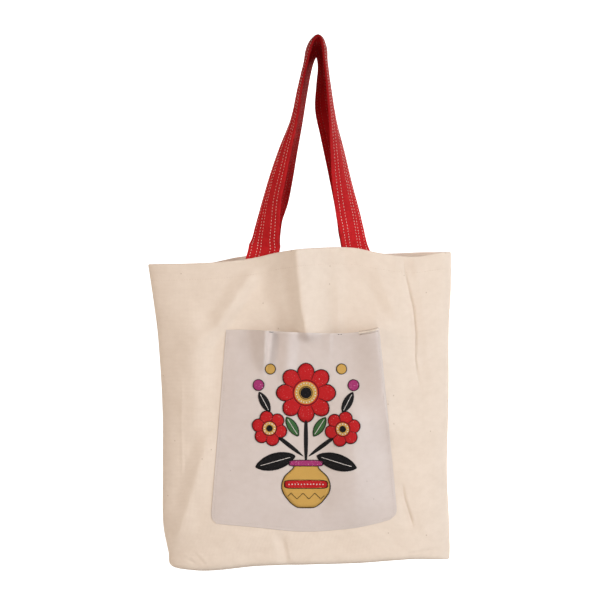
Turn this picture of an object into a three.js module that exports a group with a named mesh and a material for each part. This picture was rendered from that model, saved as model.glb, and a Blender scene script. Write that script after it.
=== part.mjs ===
// A canvas tote bag hanging by two strap handles, with a patch pocket on its front.
// Millimetres, +Z up, the front of the bag faces -Y. The origin is where both handles are carried.
import * as THREE from "three";

// Driving sizes
const CANVAS = 1.2; // wall of one layer of canvas
const HEM = 2.2; // wall where the rim is folded inwards and stitched
const HEM_DEPTH = 26; // how far the folded hem reaches down from the rim
const HEM_STEP = 2; // height of the step from the hem to the single layer
const SEAM_GAP = 0.3; // between the two panels along their seam
const STRAP_SEAT = 1.3; // between the hem and the sewn ends of the handles
const POCKET_WALL = 1.0;
const POCKET_LIFT = 0.8; // between the pocket's sewn edges and the panel
const POCKET_PUFF = 2.2; // how much further the middle of the pocket stands off the panel
const MOUTH_LEAN = 8; // how far the pocket's mouth leans out
const LEAN_REACH = 0.26; // share of the pocket's height over which it leans
const HANG_SOFTNESS = 3; // how gently the pocket passes from lying on the panel to hanging free
const STRAP_WALL = 2.2; // four layers of cloth, folded and topstitched
const CROWN = 4; // lifts the bag so that the place under the handles' peak is at the origin
const BOTTOM_DROP = 18; // height of the turn from the panels to the bottom seam
const BOTTOM_SQUARE = 5; // how square that turn is: 2 is round, larger is a tighter corner
const BOTTOM_LEFT_INSET = 20; // how far that turn rounds the outline at the left corner
const BOTTOM_RIGHT_INSET = 1.5;

// Mesh fineness
const FRONT_COLUMNS = 40;
const BACK_COLUMNS = 28;
const WALL_ROWS = 18;
const BOTTOM_ROWS = 5;
const POCKET_COLUMNS = 26;
const POCKET_ROWS = 18;
const STEPS_PER_STATION = 2;
const STRAP_COLUMNS = 4;
const EDGE_CROWDING = 0.4; // share of the columns' spacing that crowds towards the side seams

// Plan sections of the bag: down is 0 at the rim and 1 where the bottom starts to turn.
// A section is a superellipse: square 2 is an ellipse, larger is boxier.
const BAG_SECTIONS = [
  { down: 0.0, left: -203.2, right: 160.4, depth: 46, square: 2.4 },
  { down: 0.12, left: -197, right: 160.2, depth: 50, square: 2.4 },
  { down: 0.25, left: -191.3, right: 157.7, depth: 54, square: 2.4 },
  { down: 0.5, left: -186, right: 157.4, depth: 60, square: 2.6 },
  { down: 0.75, left: -185.8, right: 155.4, depth: 60, square: 3.0 },
  { down: 0.9, left: -185, right: 157.6, depth: 56, square: 3.3 },
  { down: 1.0, left: -178.5, right: 158.8, depth: 50, square: 3.6 },
];

// Heights of the rim, across the bag from the left seam (-1) to the right seam (1).
const FRONT_RIM = [
  { across: -1.0, height: -273.8 },
  { across: -0.62, height: -272.4 },
  { across: -0.35, height: -268 },
  { across: -0.1, height: -259.2 },
  { across: 0.17, height: -254.3 },
  { across: 0.35, height: -254.6 },
  { across: 0.53, height: -260.9 },
  { across: 0.74, height: -265 },
  { across: 0.91, height: -260.6 },
  { across: 1.0, height: -258.9 },
];
const BACK_RIM = [
  { across: -1.0, height: -273.8 },
  { across: -0.62, height: -272 },
  { across: -0.4, height: -264.2 },
  { across: -0.1, height: -258.5 },
  { across: 0.2, height: -256.5 },
  { across: 0.45, height: -260.5 },
  { across: 0.62, height: -260.2 },
  { across: 0.8, height: -258.9 },
  { across: 1.0, height: -258.9 },
];

// Heights of the bag's lowest line, the bottom seam.
const BOTTOM_SEAM = [
  { across: -1.0, height: -638 },
  { across: -0.8, height: -639 },
  { across: -0.41, height: -632.8 },
  { across: -0.05, height: -631 },
  { across: 0.3, height: -629.4 },
  { across: 0.63, height: -625.8 },
  { across: 0.75, height: -625 },
  { across: 1.0, height: -626.4 },
];

// Folds of the cloth: a crest line from top to bottom, the widths of its two flanks, and how far the
// crest stands out of the panel. A negative height is a crease that sinks in. Fade is the share of
// the length over which each end dies away. Sharp 0 is a round crest and 1 a pointed one. Taper is
// the share by which the fold shrinks towards its bottom.
const CENTRE_RIDGE = [
  {
    name: "broad centre ridge", topX: -27, topZ: -222, midX: -21.5, bottomX: -10, bottomZ: -372,
    left: 66, right: 58, height: 22, fade: 0.12, sharp: 0.3, taper: 0.45,
  },
  {
    name: "crest of the centre ridge", topX: -27, topZ: -222, midX: -21.5, bottomX: -10, bottomZ: -372,
    left: 28, right: 48, height: 9, fade: 0.12, sharp: 0.8, taper: 0.45,
  },
];
const FRONT_FOLDS = [
  ...CENTRE_RIDGE,
  {
    name: "second ridge", topX: 20, topZ: -222, midX: 22, bottomX: 25, bottomZ: -365,
    left: 19, right: 13, height: 2.2, fade: 0.2, sharp: 0.5, taper: 0,
  },
  {
    name: "left strap pull", topX: -62, topZ: -262, midX: -104, bottomX: -146, bottomZ: -385,
    left: 20, right: 15, height: 6.5, fade: 0.3, sharp: 0.4, taper: 0,
  },
  {
    name: "right strap pull", topX: 66, topZ: -262, midX: 80, bottomX: 98, bottomZ: -350,
    left: 16, right: 18, height: 2.5, fade: 0.3, sharp: 0.4, taper: 0,
  },
  {
    name: "left side swell", topX: -152, topZ: -310, midX: -147, bottomX: -152, bottomZ: -490,
    left: 42, right: 28, height: 6.5, fade: 0.25, sharp: 0, taper: 0,
  },
  {
    name: "lower left pull", topX: -124, topZ: -455, midX: -148, bottomX: -175, bottomZ: -622,
    left: 18, right: 22, height: 6, fade: 0.3, sharp: 0.4, taper: 0,
  },
  {
    name: "right crease", topX: 98, topZ: -235, midX: 115, bottomX: 126, bottomZ: -440,
    left: 13, right: 13, height: -3.5, fade: 0.25, sharp: 0, taper: 0,
  },
  {
    name: "lower right crease", topX: 97, topZ: -520, midX: 105, bottomX: 116, bottomZ: -600,
    left: 12, right: 14, height: -2.2, fade: 0.3, sharp: 0, taper: 0,
  },
  {
    name: "bottom crease", topX: -46, topZ: -585, midX: -39, bottomX: -31, bottomZ: -650,
    left: 12, right: 12, height: -2, fade: 0.3, sharp: 0, taper: 0,
  },
  {
    name: "ridge by the pocket's right edge", topX: 66, topZ: -318, midX: 77.5, bottomX: 86.5, bottomZ: -500,
    left: 46, right: 42, height: 12, fade: 0.25, sharp: 0.2, taper: 0,
  },
];
const BACK_FOLDS = [
  {
    name: "left pull", topX: -60, topZ: -262, midX: -98, bottomX: -138, bottomZ: -420,
    left: 24, right: 20, height: 4, fade: 0.3, sharp: 0, taper: 0,
  },
  {
    name: "right pull", topX: 44, topZ: -258, midX: 82, bottomX: 118, bottomZ: -410,
    left: 20, right: 26, height: 4, fade: 0.3, sharp: 0, taper: 0,
  },
  {
    name: "middle swag", topX: -10, topZ: -240, midX: -14, bottomX: -6, bottomZ: -400,
    left: 30, right: 24, height: 5, fade: 0.3, sharp: 0, taper: 0,
  },
  {
    name: "left side roll", topX: -150, topZ: -380, midX: -158, bottomX: -160, bottomZ: -590,
    left: 20, right: 20, height: 3, fade: 0.3, sharp: 0, taper: 0,
  },
  {
    name: "lower crease", topX: 60, topZ: -500, midX: 72, bottomX: 92, bottomZ: -640,
    left: 16, right: 18, height: -3, fade: 0.3, sharp: 0, taper: 0,
  },
];
const POCKET_FOLDS = [
  {
    name: "left pleat", topX: -60, topZ: -315, midX: -61, bottomX: -64, bottomZ: -412,
    left: 36, right: 11, height: 18, fade: 0.3, sharp: 0.3, taper: 0.7,
  },
  {
    name: "middle pleat", topX: -33, topZ: -315, midX: -35, bottomX: -40, bottomZ: -425,
    left: 20, right: 18, height: 7, fade: 0.3, sharp: 0, taper: 0.4,
  },
  {
    name: "right pleat", topX: 15, topZ: -315, midX: 15, bottomX: 14, bottomZ: -390,
    left: 14, right: 4, height: 2.2, fade: 0.3, sharp: 0.6, taper: 0.3,
  },
  {
    name: "right corner of the mouth", topX: 72, topZ: -310, midX: 79, bottomX: 88, bottomZ: -470,
    left: 46, right: 6, height: 7, fade: 0.3, sharp: 0.4, taper: 0.3,
  },
  {
    name: "lower right swell", topX: 40, topZ: -395, midX: 44, bottomX: 50, bottomZ: -690,
    left: 56, right: 42, height: 16, fade: 0.24, sharp: 0.2, taper: 0,
  },
  {
    name: "sag of the bottom", topX: 2, topZ: -510, midX: 4, bottomX: 6, bottomZ: -650,
    left: 16, right: 20, height: -2.4, fade: 0.3, sharp: 0.4, taper: 0,
  },
];

// The pocket's outline: down is 0 at its mouth and 1 at its bottom edge.
const POCKET_SECTIONS = [
  { down: 0.0, left: -108.5, right: 72.5 },
  { down: 0.5, left: -117.5, right: 83.5 },
  { down: 0.9, left: -125, right: 92.5 },
  { down: 0.97, left: -125.5, right: 92.5 },
  { down: 1.0, left: -120, right: 86 },
];
// Heights of the pocket's mouth and bottom edge, across it from -1 to 1.
const POCKET_EDGES = [
  { across: -1.0, mouth: -351, bottom: -580.5 },
  { across: -0.6, mouth: -351.5, bottom: -584 },
  { across: 0.0, mouth: -354.3, bottom: -589.5 },
  { across: 0.55, mouth: -355, bottom: -585.8 },
  { across: 0.85, mouth: -352, bottom: -579.8 },
  { across: 1.0, mouth: -348.5, bottom: -575.5 },
];

// The middle line of each handle, from its left end over its peak to its right end.
// Turn is how far the strap is twisted about its own length: at 0 it faces the panel that carries it,
// at 90 it stands edge on. Camber bows its section outwards. Sewn 1 lies on the inside of the panel.
// It is narrower where an edge is tucked in under the stitching.
const FRONT_HANDLE = [
  { x: -72.8, y: -18, z: -287, turn: 0, camber: 0, width: 34, sewn: 1 },
  { x: -68.6, y: -18, z: -272, turn: 0, camber: 0, width: 34, sewn: 1 },
  { x: -64.6, y: -18, z: -257, turn: 0, camber: 0.3, width: 34, sewn: 1 },
  { x: -62.6, y: -19, z: -246, turn: 33, camber: 1.2, width: 37, sewn: 0.1 },
  { x: -60.1, y: -20, z: -231, turn: 43, camber: 2, width: 38, sewn: 0 },
  { x: -54.4, y: -20.5, z: -197, turn: 57, camber: 2.6, width: 38, sewn: 0 },
  { x: -46.7, y: -21, z: -166, turn: 62, camber: 2.6, width: 38, sewn: 0 },
  { x: -38.5, y: -21, z: -136, turn: 69, camber: 2.2, width: 38, sewn: 0 },
  { x: -27.7, y: -21, z: -100, turn: 79, camber: 1.6, width: 38, sewn: 0 },
  { x: -21, y: -21, z: -64, turn: 83, camber: 1.2, width: 38, sewn: 0 },
  { x: -13.4, y: -21, z: -31, turn: 84, camber: 1, width: 38, sewn: 0 },
  { x: -8.6, y: -21, z: -13.5, turn: 84, camber: 1, width: 38, sewn: 0 },
  { x: -4.4, y: -21, z: -5, turn: 84, camber: 1, width: 38, sewn: 0 },
  { x: 0.2, y: -21, z: -2.4, turn: 84, camber: 1, width: 38, sewn: 0 },
  { x: 4.7, y: -21, z: -5.2, turn: 84, camber: 1, width: 38, sewn: 0 },
  { x: 7.4, y: -21, z: -13.5, turn: 84, camber: 1, width: 38, sewn: 0 },
  { x: 9.2, y: -21, z: -31, turn: 84, camber: 1, width: 38, sewn: 0 },
  { x: 12, y: -21, z: -54, turn: 84, camber: 1.2, width: 38, sewn: 0 },
  { x: 18, y: -21, z: -102, turn: 78, camber: 1.8, width: 38, sewn: 0 },
  { x: 23.4, y: -21, z: -138, turn: 66, camber: 2.6, width: 38, sewn: 0 },
  { x: 29.2, y: -20.5, z: -178, turn: 54, camber: 3, width: 38, sewn: 0 },
  { x: 36.2, y: -19, z: -214, turn: 44, camber: 3, width: 38, sewn: 0 },
  { x: 39.8, y: -17, z: -230, turn: 43, camber: 2.2, width: 38, sewn: 0 },
  { x: 42.2, y: -13, z: -241, turn: 37, camber: 1.4, width: 35, sewn: 0 },
  { x: 44.7, y: -10, z: -252, turn: 28, camber: 0.8, width: 32.5, sewn: 0 },
  { x: 47.3, y: -13, z: -264, turn: 13, camber: 0.3, width: 32.5, sewn: 0.5 },
  { x: 50, y: -18, z: -276, turn: 0, camber: 0, width: 33, sewn: 1 },
  { x: 53, y: -18, z: -291, turn: 0, camber: 0, width: 33, sewn: 1 },
];
const BACK_HANDLE = [
  { x: -66.5, y: 18, z: -283, turn: 0, camber: 0, width: 34, sewn: 1 },
  { x: -65, y: 18, z: -268, turn: 0, camber: 0, width: 34, sewn: 1 },
  { x: -63.4, y: 18, z: -253, turn: 0, camber: 0.3, width: 34, sewn: 1 },
  { x: -61.8, y: 19, z: -243, turn: 32, camber: 1.2, width: 37, sewn: 0.1 },
  { x: -59.8, y: 20, z: -231, turn: 41, camber: 1.8, width: 38, sewn: 0 },
  { x: -56, y: 20, z: -215, turn: 47, camber: 2.2, width: 38, sewn: 0 },
  { x: -46.8, y: 20.5, z: -194, turn: 56, camber: 2.4, width: 38, sewn: 0 },
  { x: -39.2, y: 21, z: -166, turn: 63, camber: 2.4, width: 38, sewn: 0 },
  { x: -32.1, y: 21, z: -136, turn: 70, camber: 2, width: 38, sewn: 0 },
  { x: -23.8, y: 21, z: -100, turn: 76, camber: 1.4, width: 38, sewn: 0 },
  { x: -17.4, y: 21, z: -64, turn: 78, camber: 1, width: 38, sewn: 0 },
  { x: -11.4, y: 21, z: -31, turn: 77, camber: 1, width: 38, sewn: 0 },
  { x: -7, y: 21, z: -15, turn: 72, camber: 1, width: 38, sewn: 0 },
  { x: -0.5, y: 21, z: -7, turn: 67, camber: 1, width: 38, sewn: 0 },
  { x: 4.8, y: 21, z: -15, turn: 72, camber: 1, width: 38, sewn: 0 },
  { x: 6.4, y: 21, z: -30, turn: 76, camber: 1, width: 38, sewn: 0 },
  { x: 6.6, y: 21, z: -54, turn: 69, camber: 1.4, width: 38, sewn: 0 },
  { x: 8, y: 21, z: -82, turn: 60, camber: 2, width: 38, sewn: 0 },
  { x: 14, y: 21, z: -112, turn: 60, camber: 2.4, width: 38, sewn: 0 },
  { x: 22.6, y: 20.5, z: -150, turn: 58, camber: 2.8, width: 38, sewn: 0 },
  { x: 32.6, y: 20, z: -192, turn: 52, camber: 3, width: 38, sewn: 0 },
  { x: 37.5, y: 20, z: -215, turn: 48, camber: 2.4, width: 38, sewn: 0 },
  { x: 40.5, y: 17, z: -231, turn: 43, camber: 1.6, width: 38, sewn: 0 },
  { x: 42.4, y: 13, z: -241, turn: 37, camber: 1, width: 35, sewn: 0 },
  { x: 44, y: 10, z: -252, turn: 28, camber: 0.6, width: 32, sewn: 0 },
  { x: 45.8, y: 13, z: -264, turn: 13, camber: 0.3, width: 32, sewn: 0.5 },
  { x: 47.5, y: 18, z: -276, turn: 0, camber: 0, width: 32, sewn: 1 },
  { x: 49, y: 18, z: -291, turn: 0, camber: 0, width: 32, sewn: 1 },
];

// Colours and finishes
const CREAM_CANVAS = new THREE.MeshStandardMaterial({ color: 0xe7d6c6, roughness: 0.9, metalness: 0 });
const GREY_SATEEN = new THREE.MeshStandardMaterial({ color: 0xd6c8bf, roughness: 0.7, metalness: 0 });
const RED_TWILL = new THREE.MeshStandardMaterial({ color: 0xb92428, roughness: 0.8, metalness: 0 });

const { clamp, lerp, smoothstep } = THREE.MathUtils;

// Reads one column of a table at a place between its rows, on a smooth curve through them.
function readTable(rows, input, output, at) {
  const last = rows.length - 1;
  let i = 0;
  while (i < last - 1 && at > rows[i + 1][input]) i += 1;
  const slope = (a, b) => (rows[b][output] - rows[a][output]) / (rows[b][input] - rows[a][input]);
  const span = rows[i + 1][input] - rows[i][input];
  const k = clamp((at - rows[i][input]) / span, 0, 1);
  const startSlope = slope(Math.max(i - 1, 0), i + 1) * span;
  const endSlope = slope(i, Math.min(i + 2, last)) * span;
  const k2 = k * k;
  const k3 = k2 * k;
  return (
    (2 * k3 - 3 * k2 + 1) * rows[i][output] +
    (k3 - 2 * k2 + k) * startSlope +
    (3 * k2 - 2 * k3) * rows[i + 1][output] +
    (k3 - k2) * endSlope
  );
}

// How far the folds lift the cloth at a place on the panel.
function foldHeight(folds, x, z) {
  let total = 0;
  for (const fold of folds) {
    const s = (fold.topZ - z) / (fold.topZ - fold.bottomZ);
    if (s <= 0 || s >= 1) continue;
    const bow = 4 * s * (1 - s) * (fold.midX - (fold.topX + fold.bottomX) / 2);
    const crest = lerp(fold.topX, fold.bottomX, s) + bow;
    const lean = Math.atan2(fold.bottomX - fold.topX, fold.topZ - fold.bottomZ);
    const off = (x - crest) * Math.cos(lean);
    const size = 1 - fold.taper * s;
    const reach = Math.abs(off) / (size * (off < 0 ? fold.left : fold.right));
    if (reach >= 1) continue;
    const ends = smoothstep(s, 0, fold.fade) * smoothstep(1 - s, 0, fold.fade);
    const profile = lerp(0.5 * (1 + Math.cos(Math.PI * reach)), (1 - reach) ** 2, fold.sharp);
    total += fold.height * size * ends * profile;
  }
  return total;
}

// One of the two canvas panels. Side is -1 for the front and 1 for the back.
const FRONT = { side: -1, rim: FRONT_RIM, folds: FRONT_FOLDS };
const BACK = { side: 1, rim: BACK_RIM, folds: BACK_FOLDS };

// How full the bag is across its width, from 0 at the seams to 1.
function fullness(across, down) {
  const square = readTable(BAG_SECTIONS, "down", "square", down);
  return Math.sqrt(Math.max(0, 1 - Math.abs(across) ** square));
}

// How far the panel stands from the middle plane of the bag.
function standOff(panel, across, down, x, z) {
  const half = readTable(BAG_SECTIONS, "down", "depth", down) / 2;
  return SEAM_GAP / 2 + fullness(across, down) * (half + foldHeight(panel.folds, x, z));
}

// A point of a panel's outer face. Turn runs from 0 to 90 degrees round the bottom, below down = 1.
function panelPoint(panel, across, down, turn) {
  const rim = readTable(panel.rim, "across", "height", across);
  const low = readTable(BOTTOM_SEAM, "across", "height", across);
  const inset = 1 - Math.cos(turn);
  const left = readTable(BAG_SECTIONS, "down", "left", down) + BOTTOM_LEFT_INSET * inset;
  const right = readTable(BAG_SECTIONS, "down", "right", down) - BOTTOM_RIGHT_INSET * inset;
  const x = lerp(left, right, (across + 1) / 2);
  const sunk = Math.sin(turn) ** (2 / BOTTOM_SQUARE);
  const out = Math.max(0, Math.cos(turn)) ** (2 / BOTTOM_SQUARE);
  const z = lerp(rim, low + BOTTOM_DROP, down) - BOTTOM_DROP * sunk;
  const off = lerp(SEAM_GAP / 2, standOff(panel, across, down, x, z), out);
  return new THREE.Vector3(x, panel.side * off, z);
}

// Where a place seen from the front lies on a panel.
function placeOn(panel, x, z) {
  let across = 0;
  let down = 0.5;
  for (let pass = 0; pass < 5; pass += 1) {
    const left = readTable(BAG_SECTIONS, "down", "left", down);
    const right = readTable(BAG_SECTIONS, "down", "right", down);
    across = clamp((2 * (x - left)) / (right - left) - 1, -1, 1);
    const rim = readTable(panel.rim, "across", "height", across);
    const low = readTable(BOTTOM_SEAM, "across", "height", across) + BOTTOM_DROP;
    down = clamp((rim - z) / (rim - low), 0, 1);
  }
  return { across, down };
}

// How far out a panel is at a place seen from the front.
function panelOffAt(panel, x, z) {
  const { across, down } = placeOn(panel, x, z);
  return standOff(panel, across, down, x, z);
}

// How much thicker a wall of the panel is from front to back where it slants than where it is upright.
function slant(panel, x, z) {
  const acrossSlope = (panelOffAt(panel, x + 1, z) - panelOffAt(panel, x - 1, z)) / 2;
  const upSlope = (panelOffAt(panel, x, z + 1) - panelOffAt(panel, x, z - 1)) / 2;
  return Math.hypot(1, acrossSlope, upSlope);
}

// A closed wall between two faces of the same grid. Face a is seen from outside with rows running
// down and columns running right.
function wallBetween(faceA, faceB) {
  const rows = faceA.length - 1;
  const columns = faceA[0].length - 1;
  const points = [...faceA.flat(), ...faceB.flat()];
  const a = (r, c) => r * (columns + 1) + c;
  const b = (r, c) => a(r, c) + points.length / 2;
  const index = [];
  for (let r = 0; r < rows; r += 1) {
    for (let c = 0; c < columns; c += 1) {
      index.push(a(r, c), a(r + 1, c), a(r + 1, c + 1), a(r, c), a(r + 1, c + 1), a(r, c + 1));
      index.push(b(r, c), b(r + 1, c + 1), b(r + 1, c), b(r, c), b(r, c + 1), b(r + 1, c + 1));
    }
  }
  const border = [];
  for (let r = 0; r < rows; r += 1) border.push([r, 0]);
  for (let c = 0; c < columns; c += 1) border.push([rows, c]);
  for (let r = rows; r > 0; r -= 1) border.push([r, columns]);
  for (let c = columns; c > 0; c -= 1) border.push([0, c]);
  border.forEach(([r, c], i) => {
    const [nextR, nextC] = border[(i + 1) % border.length];
    index.push(a(nextR, nextC), a(r, c), b(r, c), a(nextR, nextC), b(r, c), b(nextR, nextC));
  });
  const geometry = new THREE.BufferGeometry().setFromPoints(points);
  geometry.setIndex(index);
  geometry.computeVertexNormals();
  return geometry;
}

// The direction out of a grid of points at one of them, for a grid that faces -Y.
function normalAt(grid, r, c) {
  const rows = grid.length - 1;
  const columns = grid[0].length - 1;
  const downwards = grid[Math.min(r + 1, rows)][c].clone().sub(grid[Math.max(r - 1, 0)][c]);
  const rightwards = grid[r][Math.min(c + 1, columns)].clone().sub(grid[r][Math.max(c - 1, 0)]);
  return downwards.cross(rightwards).normalize();
}

// How far down the panel each row of its mesh lies: the hem's step has rows of its own.
function panelRows() {
  const height = -BOTTOM_SEAM[3].height + FRONT_RIM[4].height - BOTTOM_DROP;
  const hem = HEM_DEPTH / height;
  const rows = [
    { down: 0, turn: 0, wall: HEM },
    { down: hem / 2, turn: 0, wall: HEM },
    { down: hem, turn: 0, wall: HEM },
  ];
  const start = hem + HEM_STEP / height;
  for (let r = 0; r <= WALL_ROWS; r += 1) {
    rows.push({ down: lerp(start, 1, r / WALL_ROWS), turn: 0, wall: CANVAS });
  }
  for (let r = 1; r <= BOTTOM_ROWS; r += 1) {
    rows.push({ down: 1, turn: (Math.PI / 2) * (r / BOTTOM_ROWS), wall: CANVAS });
  }
  return rows;
}

function panelGeometry(panel, columns) {
  const rows = panelRows();
  const outer = rows.map(({ down, turn }) =>
    Array.from({ length: columns + 1 }, (_, c) => {
      const even = (2 * c) / columns - 1;
      const across = lerp(even, Math.sin((even * Math.PI) / 2), EDGE_CROWDING);
      return panelPoint(panel, across, down, turn);
    }),
  );
  const inner = outer.map((line, r) =>
    line.map((point, c) => {
      const out = normalAt(outer, r, c).multiplyScalar(-panel.side);
      const onSeam = c === 0 || c === columns || r === rows.length - 1;
      if (onSeam) out.setY(0).normalize();
      return point.clone().addScaledVector(out, -rows[r].wall);
    }),
  );
  return panel.side < 0 ? wallBetween(outer, inner) : wallBetween(inner, outer);
}

// How far out the pocket's cloth is. It lies on the panel along its sewn edges, and between them it hangs
// free of the ridge behind its mouth.
function pocketOff(x, z, across, down) {
  const above = 1 - down ** 4;
  const puff = (1 - across ** 2) * above;
  const free = (1 - across ** 16) * above;
  const lean = MOUTH_LEAN * Math.max(0, 1 - down / LEAN_REACH) ** 2 * smoothstep(across, -0.75, -0.3);
  const place = placeOn(FRONT, x, z);
  const ridge = fullness(place.across, place.down) * foldHeight(CENTRE_RIDGE, x, z);
  const lying = panelOffAt(FRONT, x, z) + POCKET_LIFT;
  const hanging = lying - ridge + puff * POCKET_PUFF + free * (lean + foldHeight(POCKET_FOLDS, x, z));
  return (lying + hanging + Math.hypot(lying - hanging, HANG_SOFTNESS * puff)) / 2;
}

// The patch pocket: sewn along its sides and bottom, free along its mouth.
function pocketGeometry() {
  const face = (lift) =>
    Array.from({ length: POCKET_ROWS + 1 }, (_, r) =>
      Array.from({ length: POCKET_COLUMNS + 1 }, (_, c) => {
        const down = 1 - (1 - r / POCKET_ROWS) ** 1.3;
        const across = (2 * c) / POCKET_COLUMNS - 1;
        const left = readTable(POCKET_SECTIONS, "down", "left", down);
        const right = readTable(POCKET_SECTIONS, "down", "right", down);
        const mouth = readTable(POCKET_EDGES, "across", "mouth", across);
        const bottom = readTable(POCKET_EDGES, "across", "bottom", across);
        const x = lerp(left, right, (across + 1) / 2);
        const z = lerp(mouth, bottom, down);
        return new THREE.Vector3(x, -(pocketOff(x, z, across, down) + lift), z);
      }),
    );
  return wallBetween(face(POCKET_WALL), face(0));
}

// One strap handle, from its left sewn end over its peak to its right sewn end.
function handleGeometry(stations, panel) {
  const line = new THREE.CatmullRomCurve3(
    stations.map(({ x, y, z }) => new THREE.Vector3(x, y, z)),
    false,
    "centripetal",
  );
  const last = stations.length - 1;
  const spread = stations.map((station, i) => ({ ...station, t: i / last }));
  const towards = new THREE.Vector3(0, panel.side, 0);
  const faceOut = [];
  const faceIn = [];
  const steps = last * STEPS_PER_STATION;
  for (let r = 0; r <= steps; r += 1) {
    const t = r / steps;
    const centre = line.getPoint(t);
    const along = line.getTangent(t);
    const read = (column) => readTable(spread, "t", column, t);
    const turn = THREE.MathUtils.degToRad(read("turn"));
    const sewn = clamp(read("sewn"), 0, 1);
    const inwards = new THREE.Vector3(along.z, 0, -along.x).normalize();
    const wide = inwards.multiplyScalar(Math.cos(turn)).addScaledVector(towards, Math.sin(turn));
    const out = along.clone().cross(wide).multiplyScalar(panel.side).normalize();
    const outLine = [];
    const inLine = [];
    for (let c = 0; c <= STRAP_COLUMNS; c += 1) {
      const across = (2 * c) / STRAP_COLUMNS - 1;
      const free = centre.clone().addScaledVector(wide, (across * read("width")) / 2);
      free.addScaledVector(out, read("camber") * (1 - across * across));
      const depth = (HEM + STRAP_SEAT) * slant(panel, free.x, free.z) + STRAP_WALL / 2;
      const seat = panelOffAt(panel, free.x, free.z) - depth;
      free.y = lerp(free.y, panel.side * seat, sewn);
      const half = out.clone().lerp(towards, sewn).normalize().multiplyScalar(STRAP_WALL / 2);
      outLine.push(free.clone().add(half));
      inLine.push(free.clone().sub(half));
    }
    faceOut.push(outLine);
    faceIn.push(inLine);
  }
  return panel.side < 0 ? wallBetween(faceIn, faceOut) : wallBetween(faceOut, faceIn);
}

function piece(name, geometry, material) {
  const mesh = new THREE.Mesh(geometry, material);
  mesh.name = name;
  return mesh;
}

const toteBag = new THREE.Group();
const canvasBody = new THREE.Group();
canvasBody.add(
  piece("front_panel", panelGeometry(FRONT, FRONT_COLUMNS), CREAM_CANVAS),
  piece("back_panel", panelGeometry(BACK, BACK_COLUMNS), CREAM_CANVAS),
);
const handles = new THREE.Group();
handles.add(
  piece("front_handle", handleGeometry(FRONT_HANDLE, FRONT), RED_TWILL),
  piece("back_handle", handleGeometry(BACK_HANDLE, BACK), RED_TWILL),
);
toteBag.add(canvasBody, handles, piece("front_pocket", pocketGeometry(), GREY_SATEEN));

toteBag.position.z = CROWN;

export default toteBag;
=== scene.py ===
"""Looks of a cream canvas tote bag with a patch pocket and two red strap handles.

Every length in the tables is in millimetres, with z counted down from the peak of the handles, +X to the
viewer's right and the front of the bag facing -Y. The finished meshes are in metres, in the frame of the
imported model.
"""

import logging
import math
from dataclasses import dataclass, field
from enum import Enum
from typing import Callable

import bpy
import numpy as np
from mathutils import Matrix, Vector


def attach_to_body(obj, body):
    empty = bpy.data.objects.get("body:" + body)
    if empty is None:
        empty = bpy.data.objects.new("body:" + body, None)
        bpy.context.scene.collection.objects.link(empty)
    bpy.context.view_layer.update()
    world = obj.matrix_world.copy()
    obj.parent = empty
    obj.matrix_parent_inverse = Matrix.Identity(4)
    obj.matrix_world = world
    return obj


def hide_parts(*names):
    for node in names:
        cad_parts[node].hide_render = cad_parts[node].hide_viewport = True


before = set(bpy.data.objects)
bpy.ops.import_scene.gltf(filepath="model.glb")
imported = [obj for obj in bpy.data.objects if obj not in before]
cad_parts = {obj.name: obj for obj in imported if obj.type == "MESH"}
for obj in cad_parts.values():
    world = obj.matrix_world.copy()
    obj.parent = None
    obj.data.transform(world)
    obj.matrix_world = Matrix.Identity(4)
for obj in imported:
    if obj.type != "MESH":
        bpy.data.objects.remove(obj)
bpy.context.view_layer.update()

LOG = logging.getLogger("tote_bag")

# Lengths shared by the pieces
MM = 0.001
CROWN = 4.0
CANVAS = 1.2
HEM = 2.2
HEM_DEPTH = 19.0
SEAM_GAP = 0.3
STRAP_SEAT = 1.3
STRAP_WALL = 2.2
POCKET_WALL = 1.0
SEWN_WALL = 0.5
POCKET_LIFT = 0.5
SEWN_LIFT = 0.2
POCKET_PUFF = 2.2
MOUTH_LEAN = 8.0
LEAN_REACH = 0.26
LEAN_ACROSS = (-0.75, -0.3)
HANG_SOFTNESS = 3.0
BOTTOM_DROP = 18.0
BOTTOM_SQUARE = 5.0
BOTTOM_LEFT_INSET = 20.0
BOTTOM_RIGHT_INSET = 1.5

# Pull of the hem stitches on the cloth, and how much the hem stiffens it
PUCKER_WIDTH = 1.8
PUCKER_DEPTH = 0.35
PUCKER_WAVE = 0.16
PUCKER_LENGTHS = (8.5, 61.0)
HEM_STIFFNESS = 0.75

# Swell of a strap between its rows of stitches, and how far and how wide they sink into it
STRAP_SWELL = 0.12
ROW_SINK = 0.3
ROW_WIDTH = 0.022

# Heights of threads over the cloth that they are sewn to
SUNK_THREAD = 0.05
STRAP_THREAD = 0.12
TACK_THREAD = 0.2
BINDING_THREAD_LIFT = 0.3

# Heights in the stitched decoration
LAYER_STEP = 0.22
PATCH_EDGE = 0.16
PATCH_CUSHION = 0.4
PATCH_SINK = 0.12
OUTLINE_LIFT = 0.2
PETAL_LIFT = 0.62
VEIN_LIFT = 0.6
ZIGZAG_LIFT = 0.6
HEART_KNOT_LIFT = 1.05
POT_KNOT_LIFT = 0.9

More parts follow.
